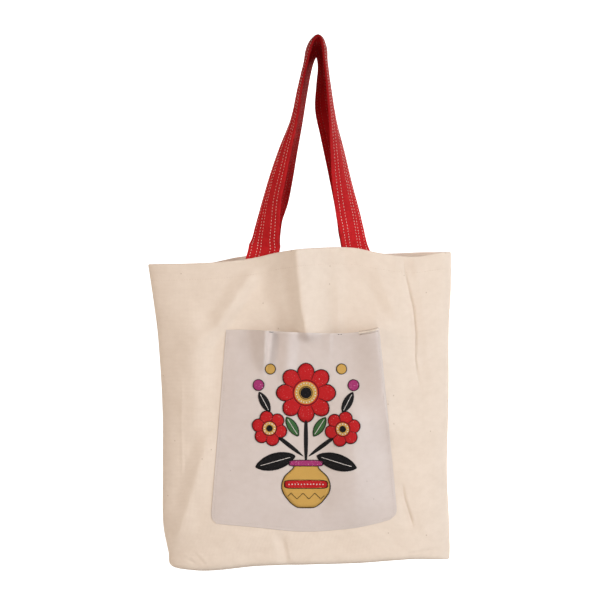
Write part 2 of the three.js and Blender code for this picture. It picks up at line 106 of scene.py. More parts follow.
# Fineness of the meshes and of the lines on them
PANEL_COLUMNS = 216
PANEL_ROWS = 150
TURN_ROWS = 20
POCKET_COLUMNS = 112
POCKET_ROWS = 112
STRAP_COLUMNS = 36
STRAP_STEP = 2.6
EDGE_STEPS = 4
BOTTOM_CROWDING = 0.8
SEAM_CROWDING = 2.5
CREASE_CROWDING = 1.6
CREASE_PLACE = 0.72
CREASE_SPREAD = 0.09
TURN_BUNCHING = 1.6
POCKET_BUNCHING = 1.3
POCKET_EDGE_CROWDING = 0.6
CROWD_SAMPLES = 4001
LOCATE_ROUNDS = 6
SURFACE_STEP = 0.004
RUN_STEP = 0.5
HEM_SAMPLES = 240
HEM_END = 0.985
POCKET_SAMPLES = 160
BINDING_SAMPLES = 24
TACK_SAMPLES = 6
STRAP_SAMPLES = 420
STRAP_MARGIN = 6.0
SWEEP_STEPS = 12

CLOTH_UV = "cloth"


class Side(Enum):
    """Which wall of the bag a piece belongs to, as the sign of its Y."""

    FRONT = -1
    BACK = 1


class Shape(Enum):
    """Outlines that the stitched decoration is made of."""

    BLOSSOM = "blossom"
    LEAF = "leaf"
    BUD = "bud"
    VASE = "vase"
    BAND = "band"


# Curves, folds and creases


def smooth(low: float, high: float, at: np.ndarray) -> np.ndarray:
    """Eases from 0 to 1 between two values.

    Args:
        low: Where the easing starts.
        high: Where it ends.
        at: Values to read it at.

    Returns:
        The eased values, from 0 to 1.
    """
    k = np.clip((at - low) / (high - low), 0.0, 1.0)
    return k * k * (3.0 - 2.0 * k)


def blend(a: np.ndarray, b: np.ndarray, k: np.ndarray) -> np.ndarray:
    """Mixes a and b by the share k of b."""
    return a + (b - a) * k


def crowd(low: float, high: float, count: int, density: Callable) -> np.ndarray:
    """Spreads places over a range, closer together where more detail is needed.

    Args:
        low: First place.
        high: Last place.
        count: How many places there are.
        density: Gives how crowded they are at any place.

    Returns:
        The places, rising.
    """
    fine = np.linspace(low, high, CROWD_SAMPLES)
    total = np.concatenate([[0.0], np.cumsum(density((fine[1:] + fine[:-1]) / 2))])
    return np.interp(np.linspace(0.0, total[-1], count), total, fine)


@dataclass(frozen=True)
class Knots:
    """A smooth curve through a short row of given values.

    Attributes:
        at: Places of the values, rising.
        value: The values there.
    """

    at: tuple[float, ...]
    value: tuple[float, ...]

    def read(self, where: np.ndarray) -> np.ndarray:
        """Reads the curve, which is level beyond its two ends.

        Args:
            where: Places to read it at.

        Returns:
            The values there.
        """
        at = np.array(self.at)
        value = np.array(self.value)
        last = len(at) - 1
        i = np.clip(np.searchsorted(at, where, side="left") - 1, 0, last - 1)
        before = np.maximum(i - 1, 0)
        after = np.minimum(i + 2, last)
        span = at[i + 1] - at[i]
        k = np.clip((where - at[i]) / span, 0.0, 1.0)
        start = (value[i + 1] - value[before]) / (at[i + 1] - at[before]) * span
        end = (value[after] - value[i]) / (at[after] - at[i]) * span
        k2 = k * k
        k3 = k2 * k
        ends = value[i] * (2 * k3 - 3 * k2 + 1) + value[i + 1] * (3 * k2 - 2 * k3)
        return ends + start * (k3 - 2 * k2 + k) + end * (k3 - k2)


@dataclass(frozen=True)
class Fold:
    """A soft ridge or valley that runs down the cloth.

    Attributes:
        top: X and Z where it starts.
        middle: X halfway down.
        bottom: X and Z where it ends.
        left: Width of its left flank.
        right: Width of its right flank.
        height: How far it stands out, or sinks in where negative.
        fade: Share of its length over which each end fades.
        sharp: How pointed its crest is, from 0, round, to 1.
        taper: Share by which it shrinks towards the bottom.
    """

    top: tuple[float, float]
    middle: float
    bottom: tuple[float, float]
    left: float
    right: float
    height: float
    fade: float = 0.25
    sharp: float = 0.0
    taper: float = 0.0

    def lift(self, x: np.ndarray, z: np.ndarray) -> np.ndarray:
        """Gives how far the fold moves the cloth outwards.

        Args:
            x: X of the points.
            z: Z of the points.

        Returns:
            The outward moves.
        """
        run = self.bottom[0] - self.top[0]
        drop = self.top[1] - self.bottom[1]
        s = np.clip((self.top[1] - z) / drop, 0.0, 1.0)
        bow = self.middle - (self.top[0] + self.bottom[0]) / 2
        crest = self.top[0] + run * s + 4 * s * (1 - s) * bow
        off = (x - crest) * math.cos(math.atan2(run, drop))
        size = 1 - self.taper * s
        reach = np.clip(np.abs(off) / (np.where(off < 0, self.left, self.right) * size), 0.0, 1.0)
        ends = smooth(0.0, self.fade, s) * smooth(0.0, self.fade, 1 - s)
        profile = blend(0.5 * (1 + np.cos(math.pi * reach)), (1 - reach) ** 2, self.sharp)
        return self.height * size * ends * profile


@dataclass(frozen=True)
class Crease:
    """A sharp line pressed into the cloth along a few points.

    Attributes:
        path: X and Z of the points.
        depth: How far the line sinks in, or stands out where negative.
        width: Half width of the line.
        lip: Height of the raised lip on the side to the right of its run.
        lip_width: Width of that lip.
    """

    path: tuple[tuple[float, float], ...]
    depth: float
    width: float
    lip: float = 0.0
    lip_width: float = 6.0

    def lift(self, x: np.ndarray, z: np.ndarray) -> np.ndarray:
        """Gives how far the crease moves the cloth outwards.

        Args:
            x: X of the points.
            z: Z of the points.

        Returns:
            The outward moves.
        """
        points = np.array(self.path)
        steps = np.diff(points, axis=0)
        lengths = np.hypot(steps[:, 0], steps[:, 1])
        whole = lengths.sum()
        nearest = np.full(np.shape(x), np.inf)
        side = np.zeros(np.shape(x))
        run = np.zeros(np.shape(x))
        for i, (step, length) in enumerate(zip(steps, lengths)):
            ax = x - points[i, 0]
            az = z - points[i, 1]
            k = np.clip((ax * step[0] + az * step[1]) / length**2, 0.0, 1.0)
            gap = np.hypot(ax - k * step[0], az - k * step[1])
            closer = gap < nearest
            nearest = np.where(closer, gap, nearest)
            side = np.where(closer, ax * step[1] - az * step[0], side)
            run = np.where(closer, (lengths[:i].sum() + k * length) / whole, run)
        ends = smooth(0.0, 0.25, run) * smooth(0.0, 0.25, 1 - run)
        groove = -self.depth * np.exp(-((nearest / self.width) ** 2))
        away = np.where(side < 0, nearest, np.inf)
        lip = self.lip * np.exp(-(((away - self.lip_width / 2) / (self.lip_width / 2)) ** 2))
        return ends * (groove + lip)


@dataclass(frozen=True)
class Crumple:
    """Soft uneven crumple of handled cloth, from a seeded sum of waves.

    Attributes:
        shortest: Shortest wavelength.
        longest: Longest wavelength.
        height: Usual height.
        waves: How many waves are summed.
        seed: Seed of their directions and phases.
    """

    shortest: float
    longest: float
    height: float
    waves: int
    seed: int

    def lift(self, x: np.ndarray, z: np.ndarray) -> np.ndarray:
        """Gives how far the crumple moves the cloth outwards.

        Args:
            x: X of the points.
            z: Z of the points.

        Returns:
            The outward moves.
        """
        draw = np.random.default_rng(self.seed)
        total = np.zeros(np.shape(x))
        for _ in range(self.waves):
            turn = draw.uniform(0.0, math.pi)
            length = draw.uniform(self.shortest, self.longest)
            phase = draw.uniform(0.0, 2 * math.pi)
            along = x * math.cos(turn) + z * math.sin(turn)
            total = total + np.cos(along * 2 * math.pi / length + phase)
        return self.height * total * math.sqrt(2 / self.waves)


# Meshes


def unit(vectors: np.ndarray) -> np.ndarray:
    """Gives the vectors in the last axis a length of one."""
    return vectors / np.maximum(np.linalg.norm(vectors, axis=-1, keepdims=True), 1e-9)


def in_frame(points: np.ndarray) -> np.ndarray:
    """Turns table points in millimetres into the row frame in metres."""
    return (points + np.array([0.0, 0.0, CROWN])) * MM


def grid_facing(grid: np.ndarray) -> np.ndarray:
    """Gives the outward directions of a grid whose rows run down and columns to the right, seen from outside.

    Args:
        grid: Points, by row and column.

    Returns:
        One unit vector for each point.
    """
    down = np.gradient(grid, axis=0)
    right = np.gradient(grid, axis=1)
    return unit(np.cross(down, right))


def grid_lengths(grid: np.ndarray) -> np.ndarray:
    """Measures cloth coordinates over a grid, in millimetres from its middle column and top row.

    Args:
        grid: Points, by row and column.

    Returns:
        Two numbers for each point: the length across and the length down.
    """
    across = np.zeros(grid.shape[:2])
    across[:, 1:] = np.cumsum(np.linalg.norm(np.diff(grid, axis=1), axis=2), axis=1)
    across -= across[:, [grid.shape[1] // 2]]
    down = np.zeros(grid.shape[:2])
    down[1:] = np.cumsum(np.linalg.norm(np.diff(grid, axis=0), axis=2), axis=0)
    return np.stack([across, -down], axis=2)


def new_piece(name: str, mesh: bpy.types.Mesh) -> bpy.types.Object:
    """Links a mesh to the scene as one smooth-shaded object.

    Args:
        name: Name of the object.
        mesh: Its mesh.

    Returns:
        The object.
    """
    mesh.shade_smooth()
    piece = bpy.data.objects.new(name, mesh)
    bpy.context.scene.collection.objects.link(piece)
    return piece


def write_mesh(name: str, points: np.ndarray, faces: list, cloth: np.ndarray) -> bpy.types.Object:
    """Makes an object from points, faces and cloth coordinates.

    Args:
        name: Name of the object.
        points: Points in millimetres, in the tables' frame.
        faces: Corner numbers of each face.
        cloth: Cloth coordinates of each point, in millimetres.

    Returns:
        The object.
    """
    mesh = bpy.data.meshes.new(name)
    mesh.from_pydata(in_frame(points).tolist(), [], faces)
    layer = mesh.uv_layers.new(name=CLOTH_UV)
    corners = np.zeros(len(mesh.loops), dtype=np.int32)
    mesh.loops.foreach_get("vertex_index", corners)
    layer.uv.foreach_set("vector", cloth[corners].astype(np.float32).ravel())
    mesh.validate()
    return new_piece(name, mesh)


def wall(name: str, outer: np.ndarray, inner: np.ndarray, bulge: tuple[float, ...]) -> bpy.types.Object:
    """Closes two facing grids into one wall of cloth with rounded edges.

    Args:
        name: Name of the object.
        outer: Points of the outer face, rows running down and columns to the right, seen from outside.
        inner: Points of the inner face, in the same order.
        bulge: Roundness of the left, bottom, right and top edges, from 0, flat, to 1, round.

    Returns:
        The object.
    """
    rows, columns = outer.shape[:2]
    number = np.arange(rows * columns).reshape(rows, columns)
    count = rows * columns
    loop = np.concatenate([number[:-1, 0], number[-1, :-1], number[:0:-1, -1], number[0, :0:-1]])
    rounds = np.repeat(bulge, [rows - 1, columns - 1, rows - 1, columns - 1])
    face = outer.reshape(-1, 3)
    back = inner.reshape(-1, 3)
    half = (face[loop] - back[loop]) / 2
    middle = (face[loop] + back[loop]) / 2
    run = np.roll(face[loop], -1, axis=0) - np.roll(face[loop], 1, axis=0)
    thickness = np.linalg.norm(half, axis=1, keepdims=True)
    swell = unit(np.cross(run, half)) * thickness * rounds[:, None]
    rings = [loop]
    strips = []
    for step in range(1, EDGE_STEPS):
        turn = math.pi * step / EDGE_STEPS
        strips.append(middle + half * math.cos(turn) + swell * math.sin(turn))
        rings.append(2 * count + (step - 1) * len(loop) + np.arange(len(loop)))
    rings.append(count + loop)
    a, b = number[:-1, :-1].ravel(), number[1:, :-1].ravel()
    c, d = number[1:, 1:].ravel(), number[:-1, 1:].ravel()
    quads = [np.stack([a, b, c, d], axis=1), np.stack([d, c, b, a], axis=1) + count]
    for ring, after in zip(rings, rings[1:]):
        quads.append(np.stack([np.roll(ring, -1), ring, after, np.roll(after, -1)], axis=1))
    cloth = grid_lengths(outer).reshape(-1, 2)
    points = np.concatenate([face, back, *strips])
    coordinates = np.concatenate([cloth, cloth] + [cloth[loop]] * len(strips))
    return write_mesh(name, points, np.concatenate(quads).tolist(), coordinates)


# Finishes


def new_finish(name: str) -> tuple[bpy.types.Material, bpy.types.NodeTree, bpy.types.Node]:
    """Starts a material.

    Args:
        name: Name of the material.

    Returns:
        The material, its node tree and its shader.
    """
    made = bpy.data.materials.new(name)
    made.use_nodes = True
    return made, made.node_tree, made.node_tree.nodes["Principled BSDF"]


def linear(code: str) -> tuple[float, float, float, float]:
    """Turns an sRGB hex code into the linear colour that shaders take.

    Args:
        code: A # and six hex digits.

    Returns:
        Red, green, blue and alpha.
    """
    parts = [int(code.lstrip("#")[i : i + 2], 16) / 255 for i in (0, 2, 4)]
    values = [p / 12.92 if p <= 0.04045 else ((p + 0.055) / 1.055) ** 2.4 for p in parts]
    return (values[0], values[1], values[2], 1.0)


def add_node(tree: bpy.types.NodeTree, kind: str, settings: dict, inputs: dict) -> bpy.types.Node:
    """Adds one node to a tree.

    Args:
        tree: Tree to add it to.
        kind: Type of the node.
        settings: Properties of the node, by name.
        inputs: Values or sockets for its inputs, by socket name or number.

    Returns:
        The node.
    """
    node = tree.nodes.new(kind)
    for name, value in settings.items():
        setattr(node, name, value)
    for key, value in inputs.items():
        if isinstance(value, bpy.types.NodeSocket):
            tree.links.new(value, node.inputs[key])
        else:
            node.inputs[key].default_value = value
    return node


@dataclass(frozen=True)
class WovenCloth:
    """Woven cotton with its threads, slubs, uneven dye and flecks.

    Attributes:
        name: Name of the material.
        colour: Its usual colour.
        shade: Colour of its darker patches.
        fleck: Colour of the seed flecks or lint.
        pitch: Distance between threads. At the photograph's scale a real thread is finer than a pixel, so the
            weave is drawn about half as coarse again.
        relief: Height of the weave.
        slub: Strength of the thick threads, from 0 to 1.
        flecks: Share of places that have a fleck.
        rough: Roughness.
        sheen: Strength of the soft fibre glow at the edges.
        diagonal: Whether the weave runs slantwise, as in twill.
        gloss: Strength of the plain reflection of its threads.
    """

    name: str
    colour: str
    shade: str
    fleck: str
    pitch: float
    relief: float
    slub: float
    flecks: float
    rough: float
    sheen: float
    diagonal: bool = False
    gloss: float = 0.12

    def material(self) -> bpy.types.Material:
        """Builds the material from the cloth coordinates.

        Returns:
            The material.
        """
        made, tree, shader = new_finish(self.name)
        place = add_node(tree, "ShaderNodeUVMap", {"uv_map": CLOTH_UV}, {}).outputs["UV"]
        mottle = self._noise(tree, place, (34, 26), 3.0)
        blotch = self._noise(tree, place, (9, 7), 2.0)
        warp = self._noise(tree, place, (1.4, 46), 1.0)
        weft = self._noise(tree, place, (38, 1.3), 1.0)
        threads = add_node(tree, "ShaderNodeMath", {"operation": "ADD"}, {0: warp, 1: weft}).outputs[0]
        uneven = add_node(tree, "ShaderNodeMath", {"operation": "ADD"}, {0: mottle, 1: blotch}).outputs[0]
        dye = add_node(
            tree,
            "ShaderNodeMapRange",
            {},
            {"Value": uneven, "From Min": 0.75, "From Max": 1.3, "To Min": 0.0, "To Max": 0.75},
        ).outputs[0]
        streak = add_node(
            tree,
            "ShaderNodeMapRange",
            {},
            {"Value": threads, "From Min": 0.7, "From Max": 1.4, "To Min": 0.0, "To Max": self.slub},
        ).outputs[0]
        both = add_node(tree, "ShaderNodeMath", {"operation": "ADD", "use_clamp": True}, {0: dye, 1: streak})
        base = add_node(
            tree,
            "ShaderNodeMix",
            {"data_type": "RGBA"},
            {0: both.outputs[0], 6: linear(self.colour), 7: linear(self.shade)},
        ).outputs[2]
        spots = add_node(
            tree,
            "ShaderNodeMix",
            {"data_type": "RGBA"},
            {0: self._specks(tree, place), 6: base, 7: linear(self.fleck)},
        ).outputs[2]
        tree.links.new(spots, shader.inputs["Base Color"])
        tree.links.new(self._bump(tree, place, threads), shader.inputs["Normal"])
        rough = add_node(
            tree,
            "ShaderNodeMapRange",
            {},
            {"Value": blotch, "To Min": self.rough - 0.06, "To Max": min(self.rough + 0.06, 1.0)},
        ).outputs[0]
        tree.links.new(rough, shader.inputs["Roughness"])
        shader.inputs["Specular IOR Level"].default_value = self.gloss
        shader.inputs["Sheen Weight"].default_value = self.sheen
        shader.inputs["Sheen Roughness"].default_value = 0.6
        return made

    def _noise(
        self,
        tree: bpy.types.NodeTree,
        place: bpy.types.NodeSocket,
        size: tuple[float, float],
        detail: float,
    ) -> bpy.types.NodeSocket:
        """Adds a noise stretched over the cloth.

        Args:
            tree: Tree to add it to.
            place: Cloth coordinates.
            size: Size of its features across and down, in millimetres.
            detail: Detail of the noise.

        Returns:
            The noise, about 0 to 1.
        """
        scale = (1 / size[0], 1 / size[1], 1.0)
        spread = add_node(tree, "ShaderNodeMapping", {}, {"Vector": place, "Scale": scale}).outputs[0]
        noise = add_node(
            tree,
            "ShaderNodeTexNoise",
            {},
            {"Vector": spread, "Scale": 1.0, "Detail": detail, "Roughness": 0.55},
        )
        return noise.outputs[0]

    def _specks(self, tree: bpy.types.NodeTree, place: bpy.types.NodeSocket) -> bpy.types.NodeSocket:
        """Adds scattered flecks about a millimetre wide.

        Args:
            tree: Tree to add them to.
            place: Cloth coordinates.

        Returns:
            How much fleck there is, from 0 to 1.
        """
        # One fleck at most in each cell of about 9 by 11 mm
        cell_scale = (0.11, 0.09, 1.0)
        spread = add_node(tree, "ShaderNodeMapping", {}, {"Vector": place, "Scale": cell_scale}).outputs[0]
        cells = add_node(
            tree, "ShaderNodeTexVoronoi", {"voronoi_dimensions": "2D"}, {"Vector": spread, "Scale": 1.0}
        )
        away = cells.outputs["Distance"]
        dot = add_node(
            tree,
            "ShaderNodeMapRange",
            {},
            {"Value": away, "From Min": 0.05, "From Max": 0.09, "To Min": 0.6, "To Max": 0.0},
        ).outputs[0]
        pick = add_node(
            tree, "ShaderNodeMath", {"operation": "LESS_THAN"}, {0: cells.outputs["Color"], 1: self.flecks}
        ).outputs[0]
        return add_node(tree, "ShaderNodeMath", {"operation": "MULTIPLY"}, {0: dot, 1: pick}).outputs[0]

    def _bump(
        self, tree: bpy.types.NodeTree, place: bpy.types.NodeSocket, threads: bpy.types.NodeSocket
    ) -> bpy.types.NodeSocket:
        """Adds the relief of the woven threads.

        Args:
            tree: Tree to add it to.
            place: Cloth coordinates.
            threads: Strength of the thick threads.

        Returns:
            The bumped normal.
        """
        # A wave texture repeats 20 * scale / (2 * pi) times a millimetre, here once for two threads
        scale = 2 * math.pi / (20 * 2 * self.pitch)
        first = {"wave_type": "BANDS", "bands_direction": "DIAGONAL" if self.diagonal else "X"}
        second = {"wave_type": "BANDS", "bands_direction": "Y"}
        wave = {"Vector": place, "Scale": scale, "Distortion": 0.4}
        up = add_node(tree, "ShaderNodeTexWave", first, wave)
        over = add_node(tree, "ShaderNodeTexWave", second, wave)
        cross = add_node(
            tree, "ShaderNodeMath", {"operation": "MULTIPLY"}, {0: up.outputs["Fac"], 1: over.outputs["Fac"]}
        ).outputs[0]
        height = add_node(
            tree, "ShaderNodeMath", {"operation": "MULTIPLY_ADD"}, {0: threads, 1: self.slub * 2.0, 2: cross}
        ).outputs[0]
        bump = add_node(
            tree, "ShaderNodeBump", {}, {"Height": height, "Strength": 0.6, "Distance": self.relief * MM}
        )
        return bump.outputs[0]


@dataclass(frozen=True)
class ThreadFill:
    """Embroidery thread laid side by side, with small gaps, painted shade in the grooves between its rows and
    a painted glint on their crowns.

    Attributes:
        name: Name of the material.
        colour: Colour of the thread.
        gap: Colour that shows in the gaps.
        rough: Roughness of the thread.
        speckle: Share of the surface where gaps show.
    """

    name: str
    colour: str
    gap: str
    rough: float = 0.55
    speckle: float = 0.12

    def material(self) -> bpy.types.Material:
        """Builds the material from the cloth coordinates of the stitched patch.

        Returns:
            The material.
        """
        made, tree, shader = new_finish(self.name)
        place = add_node(tree, "ShaderNodeUVMap", {"uv_map": CLOTH_UV}, {}).outputs["UV"]
        # Threads are drawn 1.1 mm apart, coarser than real ones, so that they still show
        lines = add_node(
            tree,
            "ShaderNodeTexWave",
            {"wave_type": "BANDS", "bands_direction": "Y"},
            {"Vector": place, "Scale": 2 * math.pi / (20 * 1.1), "Distortion": 1.2, "Detail": 1.0},
        ).outputs["Fac"]
        spots = add_node(
            tree, "ShaderNodeTexNoise", {}, {"Vector": place, "Scale": 0.55, "Detail": 2.0, "Roughness": 0.7}
        ).outputs[0]
        open_gap = add_node(
            tree,
            "ShaderNodeMapRange",
            {},
            {
                "Value": spots,
                "From Min": 0.66 - self.speckle * 0.5,
                "From Max": 0.74 - self.speckle * 0.5,
                "To Min": 0.0,
                "To Max": 0.75,
            },
        ).outputs[0]
        # Painted shade and glint: the colour is darkened in the grooves between the rows and brightened a
        # little on their crowns
        depth = add_node(
            tree, "ShaderNodeMapRange", {}, {"Value": lines, "To Min": 0.72, "To Max": 1.06}
        ).outputs[0]
        row_painted_shade_and_glint = add_node(
            tree,
            "ShaderNodeMix",
            {"data_type": "RGBA", "blend_type": "MULTIPLY"},
            {0: 1.0, 6: linear(self.colour), 7: depth},
        ).outputs[2]
        colour = add_node(
            tree, "ShaderNodeMix", {"data_type": "RGBA"}, {0: open_gap, 6: row_painted_shade_and_glint, 7: linear(self.gap)}
        ).outputs[2]
        tree.links.new(colour, shader.inputs["Base Color"])
        bump = add_node(tree, "ShaderNodeBump", {}, {"Height": lines, "Strength": 0.7, "Distance": 0.3 * MM})
        tree.links.new(bump.outputs[0], shader.inputs["Normal"])
        rough = add_node(
            tree,
            "ShaderNodeMapRange",
            {},
            {"Value": spots, "To Min": self.rough - 0.1, "To Max": self.rough + 0.15},
        ).outputs[0]
        tree.links.new(rough, shader.inputs["Roughness"])
        shader.inputs["Specular IOR Level"].default_value = 0.2
        return made


@dataclass(frozen=True)
class SewingThread:
    """Spun sewing thread, a little uneven in colour from stitch to stitch.

    Attributes:
        name: Name of the material.
        colour: Its usual colour.
        shade: Its darker colour.
    """

    name: str
    colour: str
    shade: str

    def material(self) -> bpy.types.Material:
        """Builds the material from the object's own coordinates.

        Returns:
            The material.
        """
        made, tree, shader = new_finish(self.name)
        place = add_node(tree, "ShaderNodeTexCoord", {}, {}).outputs["Object"]
        # The colour changes about every 4 mm, and the twist shows about every 0.4 mm
        spread = add_node(tree, "ShaderNodeTexNoise", {}, {"Vector": place, "Scale": 240.0, "Detail": 1.0})
        part = add_node(
            tree,
            "ShaderNodeMapRange",
            {},
            {"Value": spread.outputs[0], "From Min": 0.35, "From Max": 0.65},
        ).outputs[0]
        colour = add_node(
            tree,
            "ShaderNodeMix",
            {"data_type": "RGBA"},
            {0: part, 6: linear(self.colour), 7: linear(self.shade)},
        ).outputs[2]
        tree.links.new(colour, shader.inputs["Base Color"])
        rough = add_node(
            tree, "ShaderNodeMapRange", {}, {"Value": part, "To Min": 0.6, "To Max": 0.8}
        ).outputs[0]
        tree.links.new(rough, shader.inputs["Roughness"])
        twist = add_node(tree, "ShaderNodeTexNoise", {}, {"Vector": place, "Scale": 2600.0, "Detail": 0.0})
        bump = add_node(
            tree, "ShaderNodeBump", {}, {"Height": twist.outputs[0], "Strength": 0.4, "Distance": 0.15 * MM}
        )
        tree.links.new(bump.outputs[0], shader.inputs["Normal"])
        shader.inputs["Specular IOR Level"].default_value = 0.2
        return made


@dataclass(frozen=True)
class StudioPaper:
    """Pale background paper, lit from behind where it rises, so that it stays white beyond the bag.

    Attributes:
        name: Name of the material.
        glow: Strength of its light behind the bag.
    """

    name: str = "pale_studio_paper"
    glow: float = 1.0

    def material(self) -> bpy.types.Material:
        """Builds the material.

        Returns:
            The material.
        """
        made, tree, shader = new_finish(self.name)
        place = add_node(tree, "ShaderNodeTexCoord", {}, {}).outputs["Object"]
        grain = add_node(
            tree, "ShaderNodeTexNoise", {}, {"Vector": place, "Scale": 2.0, "Detail": 2.0}
        ).outputs[0]
        colour = add_node(
            tree,
            "ShaderNodeMix",
            {"data_type": "RGBA"},
            {0: grain, 6: linear("#d2d2d2"), 7: linear("#d8d8d8")},
        ).outputs[2]
        tree.links.new(colour, shader.inputs["Base Color"])
        shader.inputs["Roughness"].default_value = 0.9
        shader.inputs["Emission Color"].default_value = linear("#ffffff")
        depth = add_node(tree, "ShaderNodeSeparateXYZ", {}, {0: place}).outputs[1]
        glow = add_node(
            tree,
            "ShaderNodeMapRange",
            {"interpolation_type": "SMOOTHSTEP"},
            {"Value": depth, "From Min": 0.6, "From Max": 2.4, "To Min": 0.05, "To Max": self.glow},
        ).outputs[0]
        tree.links.new(glow, shader.inputs["Emission Strength"])
        return made


# Stitches


@dataclass(frozen=True)
class Stitch:
    """Size of one kind of stitch.

    Attributes:
        pitch: Distance from stitch to stitch.
        length: Length of a stitch.
        width: Thickness of its thread.
        wander: How far a stitch strays from its line.
        tilt: How far it turns out of its line, in radians.
    """

    pitch: float
    length: float
    width: float
    wander: float = 0.1
    tilt: float = 0.08


@dataclass(frozen=True)
class StitchLine:
    """A line on the cloth that stitches follow.

    Attributes:
        points: Points of the line.
        facing: Outward direction of the cloth at each point.
        closed: Whether the last point joins the first.
    """

    points: np.ndarray
    facing: np.ndarray
    closed: bool = False


class StitchMaker:
    """Lays thread stitches along lines with one Geometry Nodes tree."""

    def __init__(self) -> None:
        """Builds the tree that every row of stitches shares."""
        self.tree = bpy.data.node_groups.new("stitch_rows", "GeometryNodeTree")
        self.sockets: dict[str, str] = {}
        self._build()

    def _socket(self, name: str, kind: str, way: str) -> None:
        """Adds one named socket to the tree.

        Args:
            name: Name of the socket.
            kind: Type of the socket.
            way: INPUT or OUTPUT.
        """
        made = self.tree.interface.new_socket(name=name, in_out=way, socket_type=kind)
        if way == "INPUT":
            self.sockets[name] = made.identifier

    def _build(self) -> None:
        """Adds the tree's sockets and nodes."""
        tree = self.tree
        self._socket("Lines", "NodeSocketGeometry", "INPUT")
        for name in ("Pitch", "Length", "Width", "Wander", "Tilt"):
            self._socket(name, "NodeSocketFloat", "INPUT")
        self._socket("Seed", "NodeSocketInt", "INPUT")
        self._socket("Thread", "NodeSocketMaterial", "INPUT")
        self._socket("Stitches", "NodeSocketGeometry", "OUTPUT")
        given = tree.nodes.new("NodeGroupInput").outputs
        curve = add_node(tree, "GeometryNodeMeshToCurve", {}, {"Mesh": given["Lines"]}).outputs[0]
        spaced = add_node(
            tree, "GeometryNodeResampleCurve", {"mode": "LENGTH"}, {"Curve": curve, "Length": given["Pitch"]}
        ).outputs[0]
        flip = {"operation": "MULTIPLY"}
        back = add_node(tree, "ShaderNodeMath", flip, {0: given["Wander"], 1: -1.0}).outputs[0]
        stray = add_node(
            tree,
            "FunctionNodeRandomValue",
            {"data_type": "FLOAT_VECTOR"},
            {0: back, 1: given["Wander"], "Seed": given["Seed"]},
        ).outputs[0]
        strayed = add_node(
            tree, "GeometryNodeSetPosition", {}, {"Geometry": spaced, "Offset": stray}
        ).outputs[0]
        tangent = tree.nodes.new("GeometryNodeInputTangent").outputs[0]
        facing = add_node(
            tree, "GeometryNodeInputNamedAttribute", {"data_type": "FLOAT_VECTOR"}, {"Name": "facing"}
        ).outputs[0]
        axes = {"primary_axis": "X", "secondary_axis": "Z"}
        along = add_node(tree, "FunctionNodeAxesToRotation", axes, {0: tangent, 1: facing}).outputs[0]
        least = add_node(tree, "ShaderNodeMath", flip, {0: given["Tilt"], 1: -1.0}).outputs[0]
        swing = add_node(
            tree,
            "FunctionNodeRandomValue",
            {"data_type": "FLOAT"},
            {2: least, 3: given["Tilt"], "Seed": given["Seed"]},
        ).outputs[1]
        turn = add_node(
            tree, "FunctionNodeAxisAngleToRotation", {}, {"Axis": (0.0, 0.0, 1.0), "Angle": swing}
        ).outputs[0]
        turned = add_node(
            tree, "FunctionNodeRotateRotation", {"rotation_space": "LOCAL"}, {0: along, 1: turn}
        ).outputs[0]
        size = add_node(
            tree, "ShaderNodeCombineXYZ", {}, {0: given["Length"], 1: given["Width"], 2: given["Width"]}
        ).outputs[0]
        grain = add_node(
            tree, "GeometryNodeMeshUVSphere", {}, {"Segments": 6, "Rings": 5, "Radius": 0.5}
        ).outputs[0]
        laid = add_node(
            tree,
            "GeometryNodeInstanceOnPoints",
            {},
            {"Points": strayed, "Instance": grain, "Rotation": turned, "Scale": size},
        ).outputs[0]
        real = add_node(tree, "GeometryNodeRealizeInstances", {}, {"Geometry": laid}).outputs[0]
        dyed = add_node(
            tree, "GeometryNodeSetMaterial", {}, {"Geometry": real, "Material": given["Thread"]}
        ).outputs[0]
        add_node(tree, "NodeGroupOutput", {}, {"Stitches": dyed})

    def lay(
        self, name: str, lines: list[StitchLine], stitch: Stitch, thread: bpy.types.Material, seed: int
    ) -> bpy.types.Object:
        """Lays one kind of stitch along several lines.

        Args:
            name: Name of the piece.
            lines: Lines to follow.
            stitch: Size of the stitches.
            thread: Material of the thread.
            seed: Seed of their unevenness.

        Returns:
            The stitches as one plain mesh object.
        """
        points = np.concatenate([line.points for line in lines])
        facing = np.concatenate([line.facing for line in lines])
        edges = []
        start = 0
        for line in lines:
            count = len(line.points)
            edges += [(start + i, start + i + 1) for i in range(count - 1)]
            if line.closed:
                edges.append((start + count - 1, start))
            start += count
        guide_mesh = bpy.data.meshes.new(name + "_guide")
        guide_mesh.from_pydata(in_frame(points).tolist(), edges, [])
        attribute = guide_mesh.attributes.new("facing", "FLOAT_VECTOR", "POINT")
        attribute.data.foreach_set("vector", facing.astype(np.float32).ravel())
        guide = bpy.data.objects.new(name + "_guide", guide_mesh)
        bpy.context.scene.collection.objects.link(guide)
        modifier = guide.modifiers.new("stitches", "NODES")
        modifier.node_group = self.tree
        modifier[self.sockets["Pitch"]] = stitch.pitch * MM
        modifier[self.sockets["Length"]] = stitch.length * MM
        modifier[self.sockets["Width"]] = stitch.width * MM
        modifier[self.sockets["Wander"]] = stitch.wander * MM
        modifier[self.sockets["Tilt"]] = stitch.tilt
        modifier[self.sockets["Seed"]] = seed
        modifier[self.sockets["Thread"]] = thread
        depsgraph = bpy.context.evaluated_depsgraph_get()
        mesh = bpy.data.meshes.new_from_object(guide.evaluated_get(depsgraph))
        bpy.data.objects.remove(guide)
        bpy.data.meshes.remove(guide_mesh)
        mesh.name = name
        return new_piece(name, mesh)


def line_facing(at: Callable, a: np.ndarray, b: np.ndarray) -> np.ndarray:
    """Gives the outward directions along a line on a surface of two parameters.

    Args:
        at: Gives points for the two parameters. Seen from outside, the first runs right and the second down.
        a: First parameter of the line's points.
        b: Second parameter.

    Returns:
        One unit vector for each point.
    """
    right = at(a + SURFACE_STEP, b) - at(a - SURFACE_STEP, b)
    down = at(a, b + SURFACE_STEP) - at(a, b - SURFACE_STEP)
    return unit(np.cross(down, right))


# Canvas panels

